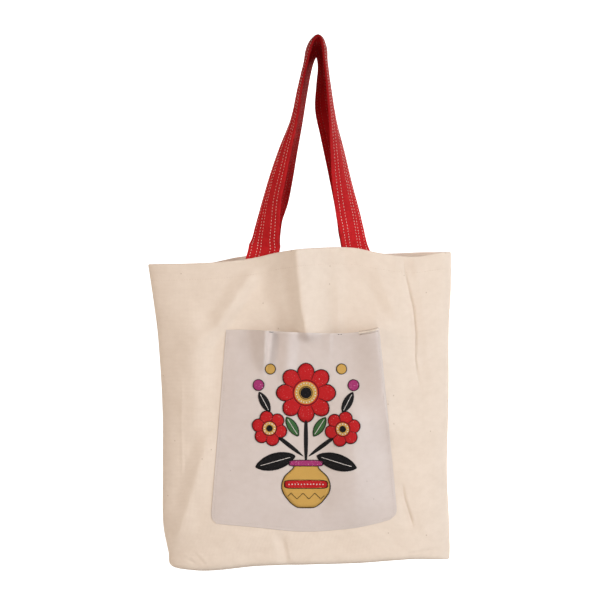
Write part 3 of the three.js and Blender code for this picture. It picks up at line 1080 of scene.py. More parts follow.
SECTION_DOWN = (0.0, 0.12, 0.25, 0.5, 0.75, 0.9, 1.0)
LEFT_SIDE = Knots(SECTION_DOWN, (-203.2, -197.0, -191.3, -186.0, -185.8, -185.0, -178.5))
RIGHT_SIDE = Knots(SECTION_DOWN, (160.4, 160.2, 157.7, 157.4, 155.4, 157.6, 158.8))
BAG_DEPTH = Knots(SECTION_DOWN, (46.0, 50.0, 54.0, 60.0, 60.0, 56.0, 50.0))
SQUARENESS = Knots(SECTION_DOWN, (2.4, 2.4, 2.4, 2.6, 3.0, 3.3, 3.6))
BOTTOM_SEAM = Knots(
    (-1.0, -0.8, -0.41, -0.05, 0.3, 0.63, 0.75, 1.0),
    (-638.0, -639.0, -632.8, -631.0, -629.4, -625.8, -625.0, -626.4),
)
FRONT_RIM = Knots(
    (-1.0, -0.62, -0.35, -0.1, 0.17, 0.35, 0.53, 0.74, 0.91, 1.0),
    (-273.8, -272.4, -268.0, -259.2, -254.3, -254.6, -260.9, -265.0, -260.6, -258.9),
)
BACK_RIM = Knots(
    (-1.0, -0.62, -0.4, -0.1, 0.2, 0.45, 0.62, 0.8, 1.0),
    (-273.8, -272.0, -264.2, -258.5, -256.5, -260.5, -260.2, -258.9, -258.9),
)
WALL_HEIGHT = 358.7

# Ridge below the middle of the rim, broad with a steep left flank, that ends behind the pocket
CENTRE_RIDGE = (
    Fold((-27, -222), -21.5, (-10, -372), 66, 58, 22, 0.12, 0.3, 0.45),
    Fold((-27, -222), -21.5, (-10, -372), 28, 48, 9, 0.12, 0.8, 0.45),
)
FRONT_FOLDS = CENTRE_RIDGE + (
    # Weaker ridge beside it
    Fold((20, -222), 22, (25, -365), 19, 13, 2.2, 0.2, 0.5),
    # Pulls below the two strap ends
    Fold((-62, -262), -104, (-146, -385), 20, 15, 6.5, 0.3, 0.4),
    Fold((66, -262), 80, (98, -350), 16, 18, 2.5, 0.3, 0.4),
    # Left side that rolls away, and the pull to the lower left corner
    Fold((-152, -310), -147, (-152, -490), 42, 28, 6.5),
    Fold((-124, -455), -148, (-175, -622), 18, 22, 6, 0.3, 0.4),
    # Creases on the right and at the bottom
    Fold((98, -235), 115, (126, -440), 13, 13, -3.5),
    Fold((97, -520), 105, (116, -600), 12, 14, -2.2, 0.3),
    Fold((-46, -585), -39, (-31, -650), 12, 12, -2, 0.3),
    # Ridge by the pocket's right edge
    Fold((66, -318), 77.5, (86.5, -500), 46, 42, 12, 0.25, 0.5),
)
BACK_FOLDS = (
    Fold((-60, -262), -98, (-138, -420), 24, 20, 4, 0.3),
    Fold((44, -258), 82, (118, -410), 20, 26, 4, 0.3),
    Fold((-10, -240), -14, (-6, -400), 30, 24, 5, 0.3),
    Fold((-150, -380), -158, (-160, -590), 20, 20, 3, 0.3),
    Fold((60, -500), 72, (92, -640), 16, 18, -3, 0.3),
)
FRONT_CREASES = (
    # Long sharp crease below the dip in the right of the rim
    Crease(
        (
            (101, -259),
            (104.5, -286),
            (109.2, -306),
            (114, -327),
            (116.7, -357),
            (115.8, -384),
            (118.7, -404),
            (125, -432),
        ),
        1.7,
        1.1,
        1.3,
        8.0,
    ),
    Crease(((99.8, -530), (103.3, -552), (111.6, -578), (115, -590)), 1.0, 1.1, 1.0, 7.0),
    Crease(((105, -616.5), (128, -614), (153, -612)), 1.0, 1.2, 0.8, 6.0),
    # Raised line on the left side, and the small creases of the lower left corner
    Crease(((-160.5, -396), (-162, -466), (-160.5, -535)), -0.7, 1.8),
    Crease(((-169, -626), (-159.5, -622), (-143, -630)), 0.8, 1.4, 0.5, 5.0),
    Crease(((-147, -615), (-132, -632)), 0.7, 1.4, 0.4, 5.0),
    Crease(((-42, -596), (-38, -612), (-35, -630)), 0.7, 1.5, 0.5, 6.0),
    # Line beside the centre ridge
    Crease(((-26, -262), (-21, -300), (-14, -338)), 0.5, 2.2, 0.4, 8.0),
)
BACK_CREASES = (
    Crease(((88, -300), (96, -350), (90, -420)), 0.8, 1.6, 0.6, 8.0),
    Crease(((-120, -480), (-104, -540), (-108, -600)), 0.8, 1.6, 0.6, 8.0),
    Crease(((-40, -590), (10, -604), (60, -598)), 0.7, 1.6, 0.5, 7.0),
)
FRONT_CRUMPLE = (Crumple(16, 34, 0.14, 14, 11), Crumple(48, 90, 0.45, 10, 12))
BACK_CRUMPLE = (Crumple(16, 34, 0.14, 14, 21), Crumple(48, 90, 0.55, 10, 22))


@dataclass
class CanvasPanel:
    """One canvas wall of the bag, from its hemmed rim round to the bottom seam.

    Attributes:
        name: Name of the piece.
        node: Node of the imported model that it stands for.
        side: Front or back.
        rim: Height of the rim, from the left side to the right.
        folds: Its large folds.
        creases: Its sharp creases.
        crumple: Its fine crumple.
        covered: Gives the share to which other cloth covers a place, by X and Z.
    """

    name: str
    node: str
    side: Side
    rim: Knots
    folds: tuple[Fold, ...]
    creases: tuple[Crease, ...]
    crumple: tuple[Crumple, ...]
    covered: Callable = field(default=lambda x, z: np.zeros(np.shape(x)))

    def _stand_off(self, x: np.ndarray, z: np.ndarray, across: np.ndarray, down: np.ndarray) -> np.ndarray:
        """Gives how far the cloth with its large folds stands from the middle of the bag.

        Args:
            x: X of the points.
            z: Z of the points.
            across: Place from the left seam, -1, to the right, 1.
            down: Place from the rim, 0, to the bottom, 1.

        Returns:
            The distances.
        """
        section = self._section(across, down)
        lift = sum(fold.lift(x, z) for fold in self.folds)
        return SEAM_GAP / 2 + section * (BAG_DEPTH.read(down) / 2 + lift)

    def _section(self, across: np.ndarray, down: np.ndarray) -> np.ndarray:
        """Gives how full the bag is across its width, from 0 at the seams to 1."""
        power = np.abs(np.clip(across, -1.0, 1.0)) ** SQUARENESS.read(down)
        return np.sqrt(np.maximum(0.0, 1 - power))

    def locate(self, x: np.ndarray, z: np.ndarray) -> tuple[np.ndarray, np.ndarray]:
        """Finds the place on the wall that is at an X and Z.

        Args:
            x: X of the points.
            z: Z of the points.

        Returns:
            The places across and down.
        """
        across = np.zeros(np.shape(x))
        down = np.full(np.shape(x), 0.5)
        for _ in range(LOCATE_ROUNDS):
            left = LEFT_SIDE.read(down)
            right = RIGHT_SIDE.read(down)
            across = np.clip(2 * (x - left) / (right - left) - 1, -1.0, 1.0)
            top = self.rim.read(across)
            low = BOTTOM_SEAM.read(across) + BOTTOM_DROP
            down = np.clip((z - top) / (low - top), 0.0, 1.0)
        return across, down

    def lift_of(self, folds: tuple[Fold, ...], x: np.ndarray, z: np.ndarray) -> np.ndarray:
        """Gives how far some of the folds move the cloth outwards at an X and Z."""
        across, down = self.locate(x, z)
        return self._section(across, down) * sum(fold.lift(x, z) for fold in folds)

    def off_at(self, x: np.ndarray, z: np.ndarray) -> np.ndarray:
        """Gives how far the cloth with its large folds stands off at an X and Z."""
        across, down = self.locate(x, z)
        return self._stand_off(x, z, across, down)

    def slant(self, x: np.ndarray, z: np.ndarray) -> np.ndarray:
        """Gives how much thicker the wall is from front to back where it slants than where it is upright."""
        across = (self.off_at(x + 1, z) - self.off_at(x - 1, z)) / 2
        up = (self.off_at(x, z + 1) - self.off_at(x, z - 1)) / 2
        return np.sqrt(1 + across**2 + up**2)

    def _relief(self, x: np.ndarray, z: np.ndarray, down: np.ndarray) -> np.ndarray:
        """Gives the creases, the crumple and the pull of the hem stitches.

        Args:
            x: X of the points.
            z: Z of the points.
            down: Place from the rim to the bottom.

        Returns:
            The outward moves.
        """
        below = down * WALL_HEIGHT
        creases = sum(crease.lift(x, z) for crease in self.creases)
        crumple = sum(part.lift(x, z) for part in self.crumple)
        seam = np.exp(-(((below - HEM_DEPTH) / PUCKER_WIDTH) ** 2))
        short, long = (np.sin(x * 2 * math.pi / length) for length in PUCKER_LENGTHS)
        pucker = seam * (-PUCKER_DEPTH + PUCKER_WAVE * short * long)
        soft = smooth(HEM_DEPTH * 0.6, HEM_DEPTH * 2.2, below)
        stiff = 1 - HEM_STIFFNESS + HEM_STIFFNESS * soft
        return (creases + crumple * stiff) * (1 - self.covered(x, z)) + pucker

    def at(self, across: np.ndarray, travel: np.ndarray) -> np.ndarray:
        """Gives points of the outer face.

        Args:
            across: Place from the left seam, -1, to the right, 1.
            travel: Place from the rim, 0, down the wall to 1 and round the bottom to the seam, 2.

        Returns:
            The points.
        """
        down = np.clip(travel, 0.0, 1.0)
        turn = np.clip(travel - 1, 0.0, 1.0) * math.pi / 2
        inset = 1 - np.cos(turn)
        left = LEFT_SIDE.read(down) + BOTTOM_LEFT_INSET * inset
        right = RIGHT_SIDE.read(down) - BOTTOM_RIGHT_INSET * inset
        x = blend(left, right, (across + 1) / 2)
        low = BOTTOM_SEAM.read(across) + BOTTOM_DROP
        z = blend(self.rim.read(across), low, down) - BOTTOM_DROP * np.sin(turn) ** (2 / BOTTOM_SQUARE)
        off = self._stand_off(x, z, across, down) + self._section(across, down) * self._relief(x, z, down)
        off = blend(SEAM_GAP / 2, off, np.maximum(np.cos(turn), 0.0) ** (2 / BOTTOM_SQUARE))
        return np.stack([x, self.side.value * off, z], axis=-1)

    def build(self) -> bpy.types.Object:
        """Builds the wall of cloth, thicker in the folded hem.

        Returns:
            The piece.
        """
        columns = crowd(-1.0, 1.0, PANEL_COLUMNS, self._crowding)
        walls = crowd(0.0, 1.0, PANEL_ROWS, lambda down: 1 + BOTTOM_CROWDING * smooth(0.9, 0.96, down))
        rows = np.concatenate([walls, 1 + np.linspace(0.0, 1.0, TURN_ROWS)[1:] ** TURN_BUNCHING])
        across, travel = np.meshgrid(columns[:: -self.side.value], rows)
        outer = self.at(across, travel)
        inwards = -grid_facing(outer)
        inwards[-1, :, 1] = 0.0
        inwards[:, [0, -1], 1] = 0.0
        below = np.clip(travel, 0.0, 1.0) * WALL_HEIGHT
        thick = blend(HEM, CANVAS, smooth(HEM_DEPTH - 1, HEM_DEPTH + 3, below))
        inner = outer + inwards * thick[:, :, None]
        return wall(self.name, outer, inner, (0.0, 0.0, 0.0, 1.0))

    def _crowding(self, across: np.ndarray) -> np.ndarray:
        """Gives how close the columns are, closest at the seams and along the sharp creases on the right."""
        seams = SEAM_CROWDING * np.abs(across) ** 10
        creases = CREASE_CROWDING * np.exp(-(((across - CREASE_PLACE) / CREASE_SPREAD) ** 2))
        return 1 + seams + creases

    def hem_line(self) -> StitchLine:
        """Gives the line that the hem is sewn along.

        Returns:
            The line.
        """
        across = np.linspace(-HEM_END, HEM_END, HEM_SAMPLES)
        down = np.full(across.shape, HEM_DEPTH / WALL_HEIGHT)
        facing = line_facing(self.at, across, down) * -self.side.value
        return StitchLine(self.at(across, down) + facing * SUNK_THREAD, facing)

    def dress(self, piece: bpy.types.Object, canvas: bpy.types.Material) -> None:
        """Gives the wall its material and its place in the frame.

        Args:
            piece: The wall.
            canvas: Its material.
        """
        piece.data.materials.append(canvas)
        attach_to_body(piece, "root")
        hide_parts(self.node)


# Patch pocket

POCKET_DOWN = (0.0, 0.5, 0.9, 0.97, 1.0)
POCKET_LEFT = Knots(POCKET_DOWN, (-108.5, -117.5, -125.0, -125.5, -120.0))
POCKET_RIGHT = Knots(POCKET_DOWN, (72.5, 83.5, 92.5, 92.5, 86.0))
POCKET_ACROSS = (-1.0, -0.6, 0.0, 0.55, 0.85, 1.0)
POCKET_MOUTH = Knots(POCKET_ACROSS, (-351.0, -351.5, -354.3, -355.0, -352.0, -348.5))
POCKET_BOTTOM = Knots(POCKET_ACROSS, (-580.5, -584.0, -589.5, -585.8, -579.8, -575.5))
POCKET_FOLDS = (
    # Pleats that hang from the mouth
    Fold((-60, -315), -61, (-64, -412), 36, 11, 18, 0.3, 0.3, 0.7),
    Fold((-33, -315), -35, (-40, -425), 20, 18, 7, 0.3, 0.0, 0.4),
    Fold((15, -315), 15, (14, -390), 14, 4, 2.2, 0.3, 0.6, 0.3),
    # Corner of the mouth that stands out on the right
    Fold((72, -310), 79, (88, -470), 46, 6, 7, 0.3, 0.4, 0.3),
    # Swell along the lower right side and the sag in the middle of the bottom
    Fold((40, -395), 44, (50, -690), 56, 42, 16, 0.24, 0.2),
    Fold((2, -510), 4, (6, -650), 16, 20, -2.4, 0.3, 0.4),
)
POCKET_CREASES = (Crease(((-91, -478), (-82, -490), (-72, -503)), 0.4, 2.0, 0.3, 6.0),)
POCKET_CRUMPLE = (Crumple(20, 40, 0.07, 12, 31), Crumple(55, 110, 0.3, 8, 32))

# Powers that fade the loose cloth out towards the sewn bottom and sides
BOTTOM_FADE = 4
SIDE_FADE = 60
# Bands, across and down the pocket, in which the cloth is sewn flat and in which it hides the panel
SEWN_SIDES = (0.82, 0.985)
SEWN_BOTTOM = (0.9, 0.99)
COVER_SIDES = (1.0, 1.12)
COVER_MOUTH = (-0.09, -0.02)
COVER_BOTTOM = (1.01, 1.06)
# Places of the rows of thread on the pocket
SEAM_ACROSS = 0.972
SEAM_DOWN = 0.983
TACK_DOWN = 0.004
TACK_ENDS = ((-0.43, -0.385), (0.47, 0.5))
BINDING_ENDS = (0.74, 0.968)


@dataclass
class PatchPocket:
    """The lighter pocket, sewn to the front along its sides and bottom and free along its mouth.

    Attributes:
        name: Name of the piece.
        node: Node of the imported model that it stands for.
        panel: The front wall that it is sewn to.
    """

    name: str
    node: str
    panel: CanvasPanel

    def locate(self, x: np.ndarray, z: np.ndarray) -> tuple[np.ndarray, np.ndarray]:
        """Finds the place on the pocket that is at an X and Z.

        Args:
            x: X of the points.
            z: Z of the points.

        Returns:
            The places across and down, beyond -1 to 1 and 0 to 1 outside the pocket.
        """
        down = np.full(np.shape(x), 0.5)
        for _ in range(LOCATE_ROUNDS):
            left = POCKET_LEFT.read(down)
            right = POCKET_RIGHT.read(down)
            across = 2 * (x - left) / (right - left) - 1
            mouth = POCKET_MOUTH.read(across)
            down = (z - mouth) / (POCKET_BOTTOM.read(across) - mouth)
        return across, down

    def covers(self, x: np.ndarray, z: np.ndarray) -> np.ndarray:
        """Gives 1 under the pocket, 0 away from it, and between them along its edges."""
        across, down = self.locate(x, z)
        sides = 1 - smooth(*COVER_SIDES, np.abs(across))
        return sides * smooth(*COVER_MOUTH, down) * (1 - smooth(*COVER_BOTTOM, down))

    def over(self, x: np.ndarray, z: np.ndarray, across: np.ndarray, down: np.ndarray) -> np.ndarray:
        """Gives the Y of the pocket's outer face.

        Args:
            x: X of the points.
            z: Z of the points.
            across: Their places across the pocket.
            down: Their places down the pocket.

        Returns:
            The Y of the points.
        """
        above = np.maximum(0.0, 1 - np.maximum(down, 0.0) ** BOTTOM_FADE)
        puff = np.maximum(0.0, 1 - across**2) * above
        free = np.maximum(0.0, 1 - across**SIDE_FADE) * above
        lean = MOUTH_LEAN * np.clip(1 - down / LEAN_REACH, 0.0, 1.0) ** 2 * smooth(*LEAN_ACROSS, across)
        folds = sum(fold.lift(x, z) for fold in POCKET_FOLDS)
        relief = sum(part.lift(x, z) for part in POCKET_CREASES + POCKET_CRUMPLE)
        rise = blend(POCKET_LIFT, SEWN_LIFT, self._sewn(across, down)) + self._wall(across, down)
        lying = self.panel.off_at(x, z) + rise
        loose = puff * (POCKET_PUFF + relief) + free * (lean + folds)
        hanging = lying - self.panel.lift_of(CENTRE_RIDGE, x, z) + loose
        return -(lying + hanging + np.hypot(lying - hanging, HANG_SOFTNESS * puff)) / 2

    def _sewn(self, across: np.ndarray, down: np.ndarray) -> np.ndarray:
        """Gives 1 along the sewn sides and bottom, and 0 inside them."""
        sides = smooth(*SEWN_SIDES, np.abs(across))
        return np.maximum(sides, smooth(*SEWN_BOTTOM, down))

    def _wall(self, across: np.ndarray, down: np.ndarray) -> np.ndarray:
        """Gives the thickness of the cloth, which the stitches press flat along the sewn edges."""
        return blend(POCKET_WALL, SEWN_WALL, self._sewn(across, down))

    def at(self, across: np.ndarray, down: np.ndarray) -> np.ndarray:
        """Gives points of the outer face.

        Args:
            across: Place from the left edge, -1, to the right, 1.
            down: Place from the mouth, 0, to the bottom, 1.

        Returns:
            The points.
        """
        x = blend(POCKET_LEFT.read(down), POCKET_RIGHT.read(down), (across + 1) / 2)
        z = blend(POCKET_MOUTH.read(across), POCKET_BOTTOM.read(across), down)
        return np.stack([x, self.over(x, z, across, down), z], axis=-1)

    def lifted(self, x: np.ndarray, z: np.ndarray, height: np.ndarray) -> np.ndarray:
        """Gives points at a height over the pocket's outer face.

        Args:
            x: X of the points.
            z: Z of the points.
            height: Their heights.

        Returns:
            The points.
        """
        across, down = self.locate(x, z)
        return np.stack([x, self.over(x, z, across, down) - height, z], axis=-1)

    def build(self) -> bpy.types.Object:
        """Builds the pocket's cloth.

        Returns:
            The piece.
        """
        even = np.linspace(-1.0, 1.0, POCKET_COLUMNS)
        columns = blend(even, np.sin(even * math.pi / 2), POCKET_EDGE_CROWDING)
        rows = 1 - (1 - np.linspace(0.0, 1.0, POCKET_ROWS)) ** POCKET_BUNCHING
        across, down = np.meshgrid(columns, rows)
        outer = self.at(across, down)
        inner = outer.copy()
        inner[..., 1] += self._wall(across, down)
        return wall(self.name, outer, inner, (0.6, 0.6, 0.6, 1.0))

    def edge_lines(self) -> list[StitchLine]:
        """Gives the lines that the pocket is sewn along, close inside its sides and bottom."""
        side = np.linspace(0.02, 0.975, POCKET_SAMPLES)
        base = np.linspace(-0.965, 0.965, POCKET_SAMPLES)
        edge = np.full(POCKET_SAMPLES, SEAM_ACROSS)
        across = np.concatenate([-edge, base, edge])
        down = np.concatenate([side, np.full(POCKET_SAMPLES, SEAM_DOWN), side[::-1]])
        return [self._row(across, down, SUNK_THREAD)]

    def mouth_tacks(self) -> list[StitchLine]:
        """Gives the short dark thread ends on the edge of the mouth."""
        down = np.full(TACK_SAMPLES, TACK_DOWN)
        return [self._row(np.linspace(*ends, TACK_SAMPLES), down, TACK_THREAD) for ends in TACK_ENDS]

    def binding_lines(self, depths: tuple[float, ...]) -> list[StitchLine]:
        """Gives lines along the bound right end of the mouth.

        Args:
            depths: Places of the lines down the pocket, from its edge.

        Returns:
            The lines.
        """
        across = np.linspace(*BINDING_ENDS, BINDING_SAMPLES)
        return [
            self._row(across, np.full(BINDING_SAMPLES, depth), BINDING_THREAD_LIFT) for depth in depths
        ]

    def _row(self, across: np.ndarray, down: np.ndarray, lift: float) -> StitchLine:
        """Gives a line over the outer face.

        Args:
            across: Places of its points across the pocket.
            down: Their places down the pocket.
            lift: Their height over the cloth.

        Returns:
            The line.
        """
        facing = line_facing(self.at, across, down)
        return StitchLine(self.at(across, down) + facing * lift, facing)

    def dress(self, piece: bpy.types.Object, cloth: bpy.types.Material) -> None:
        """Gives the pocket its material and its place in the frame.

        Args:
            piece: The pocket.
            cloth: Its material.
        """
        piece.data.materials.append(cloth)
        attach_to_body(piece, "root")
        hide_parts(self.node)


# Strap handles

FRONT_HANDLE = (
    # x, y, z, turn in degrees, camber, width, sewn
    (-72.8, -18, -287, 0, 0, 34, 1),
    (-68.6, -18, -272, 0, 0, 34, 1),
    (-64.6, -18, -257, 0, 0.3, 34, 1),
    (-62.6, -19, -246, 33, 1.2, 37, 0.1),
    (-60.1, -20, -231, 43, 2, 38, 0),
    (-54.4, -20.5, -197, 57, 2.6, 38, 0),
    (-46.7, -21, -166, 62, 2.6, 38, 0),
    (-38.5, -21, -136, 69, 2.2, 38, 0),
    (-27.7, -21, -100, 79, 1.6, 38, 0),
    (-21, -21, -64, 83, 1.2, 38, 0),
    (-13.4, -21, -31, 84, 1, 38, 0),
    (-8.6, -21, -13.5, 84, 1, 38, 0),
    (-4.4, -21, -5, 84, 1, 38, 0),
    (0.2, -21, -2.4, 84, 1, 38, 0),
    (4.7, -21, -5.2, 84, 1, 38, 0),
    (7.4, -21, -13.5, 84, 1, 38, 0),
    (9.2, -21, -31, 84, 1, 38, 0),
    (12, -21, -54, 84, 1.2, 38, 0),
    (18, -21, -102, 78, 1.8, 38, 0),
    (23.4, -21, -138, 66, 2.6, 38, 0),
    (29.2, -20.5, -178, 54, 3, 38, 0),
    (36.2, -19, -214, 44, 3, 38, 0),
    (39.8, -17, -230, 43, 2.2, 38, 0),
    (42.2, -13, -241, 37, 1.4, 35, 0),
    (44.7, -10, -252, 28, 0.8, 32.5, 0),
    (47.3, -13, -264, 13, 0.3, 32.5, 0.5),
    (50, -18, -276, 0, 0, 33, 1),
    (53, -18, -291, 0, 0, 33, 1),
)
BACK_HANDLE = (
    (-66.5, 18, -283, 0, 0, 34, 1),
    (-65, 18, -268, 0, 0, 34, 1),
    (-63.4, 18, -253, 0, 0.3, 34, 1),
    (-61.8, 19, -243, 32, 1.2, 37, 0.1),
    (-59.8, 20, -231, 41, 1.8, 38, 0),
    (-56, 20, -215, 47, 2.2, 38, 0),
    (-46.8, 20.5, -194, 56, 2.4, 38, 0),
    (-39.2, 21, -166, 63, 2.4, 38, 0),
    (-32.1, 21, -136, 70, 2, 38, 0),
    (-23.8, 21, -100, 76, 1.4, 38, 0),
    (-17.4, 21, -64, 78, 1, 38, 0),
    (-11.4, 21, -31, 77, 1, 38, 0),
    (-7, 21, -15, 72, 1, 38, 0),
    (-0.5, 21, -7, 67, 1, 38, 0),
    (4.8, 21, -15, 72, 1, 38, 0),
    (6.4, 21, -30, 76, 1, 38, 0),
    (6.6, 21, -54, 69, 1.4, 38, 0),
    (8, 21, -82, 60, 2, 38, 0),
    (14, 21, -112, 60, 2.4, 38, 0),
    (22.6, 20.5, -150, 58, 2.8, 38, 0),
    (32.6, 20, -192, 52, 3, 38, 0),
    (37.5, 20, -215, 48, 2.4, 38, 0),
    (40.5, 17, -231, 43, 1.6, 38, 0),
    (42.4, 13, -241, 37, 1, 35, 0),
    (44, 10, -252, 28, 0.6, 32, 0),
    (45.8, 13, -264, 13, 0.3, 32, 0.5),
    (47.5, 18, -276, 0, 0, 32, 1),
    (49, 18, -291, 0, 0, 32, 1),
)
STITCH_PLACES = (0.08, 0.28, 0.4, 0.73, 0.89)


@dataclass
class StrapHandle:
    """One red strap with its two ends sewn inside a rim.

    Attributes:
        name: Name of the piece.
        node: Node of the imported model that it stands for.
        side: Front or back.
        panel: The wall that it is sewn to.
        stations: X, Y, Z, turn, camber, width and sewn share of places along the strap.
        curves: The same values as curves over the length of the strap.
        length: Length of the strap.
    """

    name: str
    node: str
    side: Side
    panel: CanvasPanel
    stations: tuple[tuple[float, ...], ...]
    curves: list[Knots] = field(init=False)
    length: float = field(init=False)

    def __post_init__(self) -> None:
        """Turns the stations into curves over the length of the strap."""
        table = np.array(self.stations)
        steps = np.linalg.norm(np.diff(table[:, :3], axis=0), axis=1)
        run = tuple(np.concatenate([[0.0], np.cumsum(steps)]))
        self.length = run[-1]
        self.curves = [Knots(run, tuple(table[:, i])) for i in range(table.shape[1])]

    def _swell(self, across: np.ndarray) -> np.ndarray:
        """Gives how the layers swell between the rows of stitches and sink under them."""
        place = (across + 1) / 2
        sunk = sum(np.exp(-(((place - row) / ROW_WIDTH) ** 2)) for row in STITCH_PLACES)
        return STRAP_SWELL - ROW_SINK * np.minimum(sunk, 1.0)

    def at(self, across: np.ndarray, run: np.ndarray, face: int = 1) -> np.ndarray:
        """Gives points of one face of the strap.

        Args:
            across: Place from the outer edge of the loop, -1, to the inner edge, 1.
            run: Length along the strap.
            face: 1 for the outer face and -1 for the inner face.

        Returns:
            The points.
        """
        x, y, z, turn, camber, width, sewn = [curve.read(run) for curve in self.curves]
        centre = np.stack([x, y, z], axis=-1)
        ahead = np.stack([curve.read(run + RUN_STEP) for curve in self.curves[:3]], axis=-1)
        behind = np.stack([curve.read(run - RUN_STEP) for curve in self.curves[:3]], axis=-1)
        along = unit(ahead - behind)
        flat = np.zeros(np.shape(x))
        inwards = unit(np.stack([along[..., 2], flat, -along[..., 0]], axis=-1))
        away = np.stack([flat, flat + self.side.value, flat], axis=-1)
        angle = np.radians(turn)[..., None]
        wide = inwards * np.cos(angle) + away * np.sin(angle)
        out = unit(np.cross(along, wide)) * self.side.value
        point = centre + wide * (across * width / 2)[..., None] + out * (camber * (1 - across**2))[..., None]
        depth = (HEM + STRAP_SEAT) * self.panel.slant(point[..., 0], point[..., 2]) + STRAP_WALL / 2
        seat = self.panel.off_at(point[..., 0], point[..., 2]) - depth
        point[..., 1] = blend(point[..., 1], self.side.value * seat, sewn)
        through = unit(blend(out, away, sewn[..., None]))
        return point + through * (face * (STRAP_WALL / 2 + self._swell(across) * (1 - sewn)))[..., None]

    def build(self) -> bpy.types.Object:
        """Builds the strap as one closed strip.

        Returns:
            The piece.
        """
        count = int(self.length / STRAP_STEP)
        run = np.linspace(0.0, self.length, count)
        across = np.linspace(-1.0, 1.0, STRAP_COLUMNS) * -self.side.value
        wide, along = np.meshgrid(across, run[::-1])
        return wall(self.name, self.at(wide, along), self.at(wide, along, -1), (1.0, 1.0, 1.0, 1.0))

    def stitch_lines(self, face: int) -> list[StitchLine]:
        """Gives the rows of stitching on one face.

        Args:
            face: 1 for the outer face and -1 for the inner one.

        Returns:
            The rows.
        """
        run = np.linspace(STRAP_MARGIN, self.length - STRAP_MARGIN, STRAP_SAMPLES)
        lines = []
        for place in STITCH_PLACES:
            across = np.full(run.shape, 2 * place - 1)
            other = self.at(across, run, -face)
            points = self.at(across, run, face)
            facing = unit(points - other)
            lines.append(StitchLine(points + facing * STRAP_THREAD, facing))
        return lines

    def dress(self, piece: bpy.types.Object, cloth: bpy.types.Material) -> None:
        """Gives the strap its material and its place in the frame.

        Args:
            piece: The strap.
            cloth: Its material.
        """
        piece.data.materials.append(cloth)
        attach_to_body(piece, "root")
        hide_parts(self.node)


# Stitched decoration


@dataclass(frozen=True)
class Motif:
    """One filled shape of the stitched decoration.

    Attributes:
        shape: Its outline.
        centre: Right and up from the middle of the decoration.
        size: Length and width, or twice the radius.
        thread: Name of the thread that fills it.
        turn: How far its length is turned from level, in degrees.
        petals: How many petals a blossom has.
        layer: How many other shapes it lies over.
        edged: Whether a dark line is stitched round it.
        twin: Whether its mirror image is on the other side.
    """

    shape: Shape
    centre: tuple[float, float]
    size: tuple[float, float]
    thread: str
    turn: float = 0.0
    petals: int = 0
    layer: int = 0
    edged: bool = True
    twin: bool = False

    def mirrored(self) -> "Motif":
        """Gives the mirror image on the other side of the middle."""
        centre = (-self.centre[0], self.centre[1])
        return Motif(
            self.shape, centre, self.size, self.thread, 180 - self.turn, self.petals, self.layer, self.edged
        )

    def outline(self, count: int) -> np.ndarray:
        """Gives the outline round the shape's own centre, before it is turned.

        Args:
            count: How many points it has.

        Returns:
            Right and up of each point, anticlockwise.
        """
        t = np.linspace(0.0, 2 * math.pi, count, endpoint=False)
        long, wide = self.size[0] / 2, self.size[1] / 2
        if self.shape is Shape.BLOSSOM:
            radius = 0.74 + 0.26 * np.abs(np.cos(t * self.petals / 2)) ** 0.75
            return np.stack([long * radius * np.cos(t), wide * radius * np.sin(t)], axis=1)
        if self.shape is Shape.LEAF:
            rise = np.sign(np.sin(t)) * np.abs(np.sin(t)) ** 1.5
            return np.stack([long * np.cos(t), wide * rise], axis=1)
        if self.shape is Shape.VASE:
            up = wide * np.sin(t)
            half = Knots((-1.0, -0.75, -0.2, 0.35, 0.75, 1.0), (0.5, 0.72, 0.98, 0.9, 0.58, 0.6))
            right = long * np.sign(np.cos(t)) * half.read(np.sin(t)) * np.abs(np.cos(t)) ** 0.25
            return np.stack([right, up], axis=1)
        power = 0.4 if self.shape is Shape.BAND else 1.0
        right = np.sign(np.cos(t)) * np.abs(np.cos(t)) ** power
        rise = np.sign(np.sin(t)) * np.abs(np.sin(t)) ** power
        return np.stack([long * right, wide * rise], axis=1)

    def placed(self, points: np.ndarray) -> np.ndarray:
        """Turns and moves points of the shape to their place in the decoration."""
        angle = math.radians(self.turn)
        right = points[..., 0] * math.cos(angle) - points[..., 1] * math.sin(angle)
        rise = points[..., 0] * math.sin(angle) + points[..., 1] * math.cos(angle)
        return np.stack([right + self.centre[0], rise + self.centre[1]], axis=-1)


# A potted plant in bloom, the same on the left and right of its stem
DESIGN_CENTRE = (-14.0, -473.0)
DESIGN = (
    Motif(Shape.VASE, (0, -61), (58, 54), "ochre"),
    Motif(Shape.BAND, (0, -60), (51, 10), "red", layer=1),
    Motif(Shape.BAND, (0, -35), (40, 7), "magenta", layer=1),
    Motif(Shape.LEAF, (0, -6), (66, 5), "black", turn=90, edged=False),
    Motif(Shape.BLOSSOM, (0, 48), (70, 70), "red", petals=8, layer=1),
    Motif(Shape.BUD, (0, 48), (30, 30), "ochre", layer=2),
    Motif(Shape.BUD, (0, 48), (15, 15), "black", layer=3),
    Motif(Shape.LEAF, (21, -13), (46, 5), "black", turn=38, edged=False, twin=True),
    Motif(Shape.BLOSSOM, (43, 6), (42, 42), "red", petals=6, turn=15, layer=1, twin=True),
    Motif(Shape.BUD, (43, 6), (17, 17), "ochre", layer=2, twin=True),
    Motif(Shape.BUD, (43, 6), (7, 7), "black", layer=3, twin=True),
    Motif(Shape.LEAF, (36, -33), (48, 19), "black", turn=-16, twin=True),
    Motif(Shape.LEAF, (16, 8), (26, 11), "green", turn=58, twin=True),
    Motif(Shape.LEAF, (49, 37), (26, 10), "black", turn=62, twin=True),
    Motif(Shape.BUD, (56, 57), (13, 13), "magenta", layer=1, twin=True),
    Motif(Shape.BUD, (42, 76), (12, 12), "ochre", layer=1, twin=True),
)
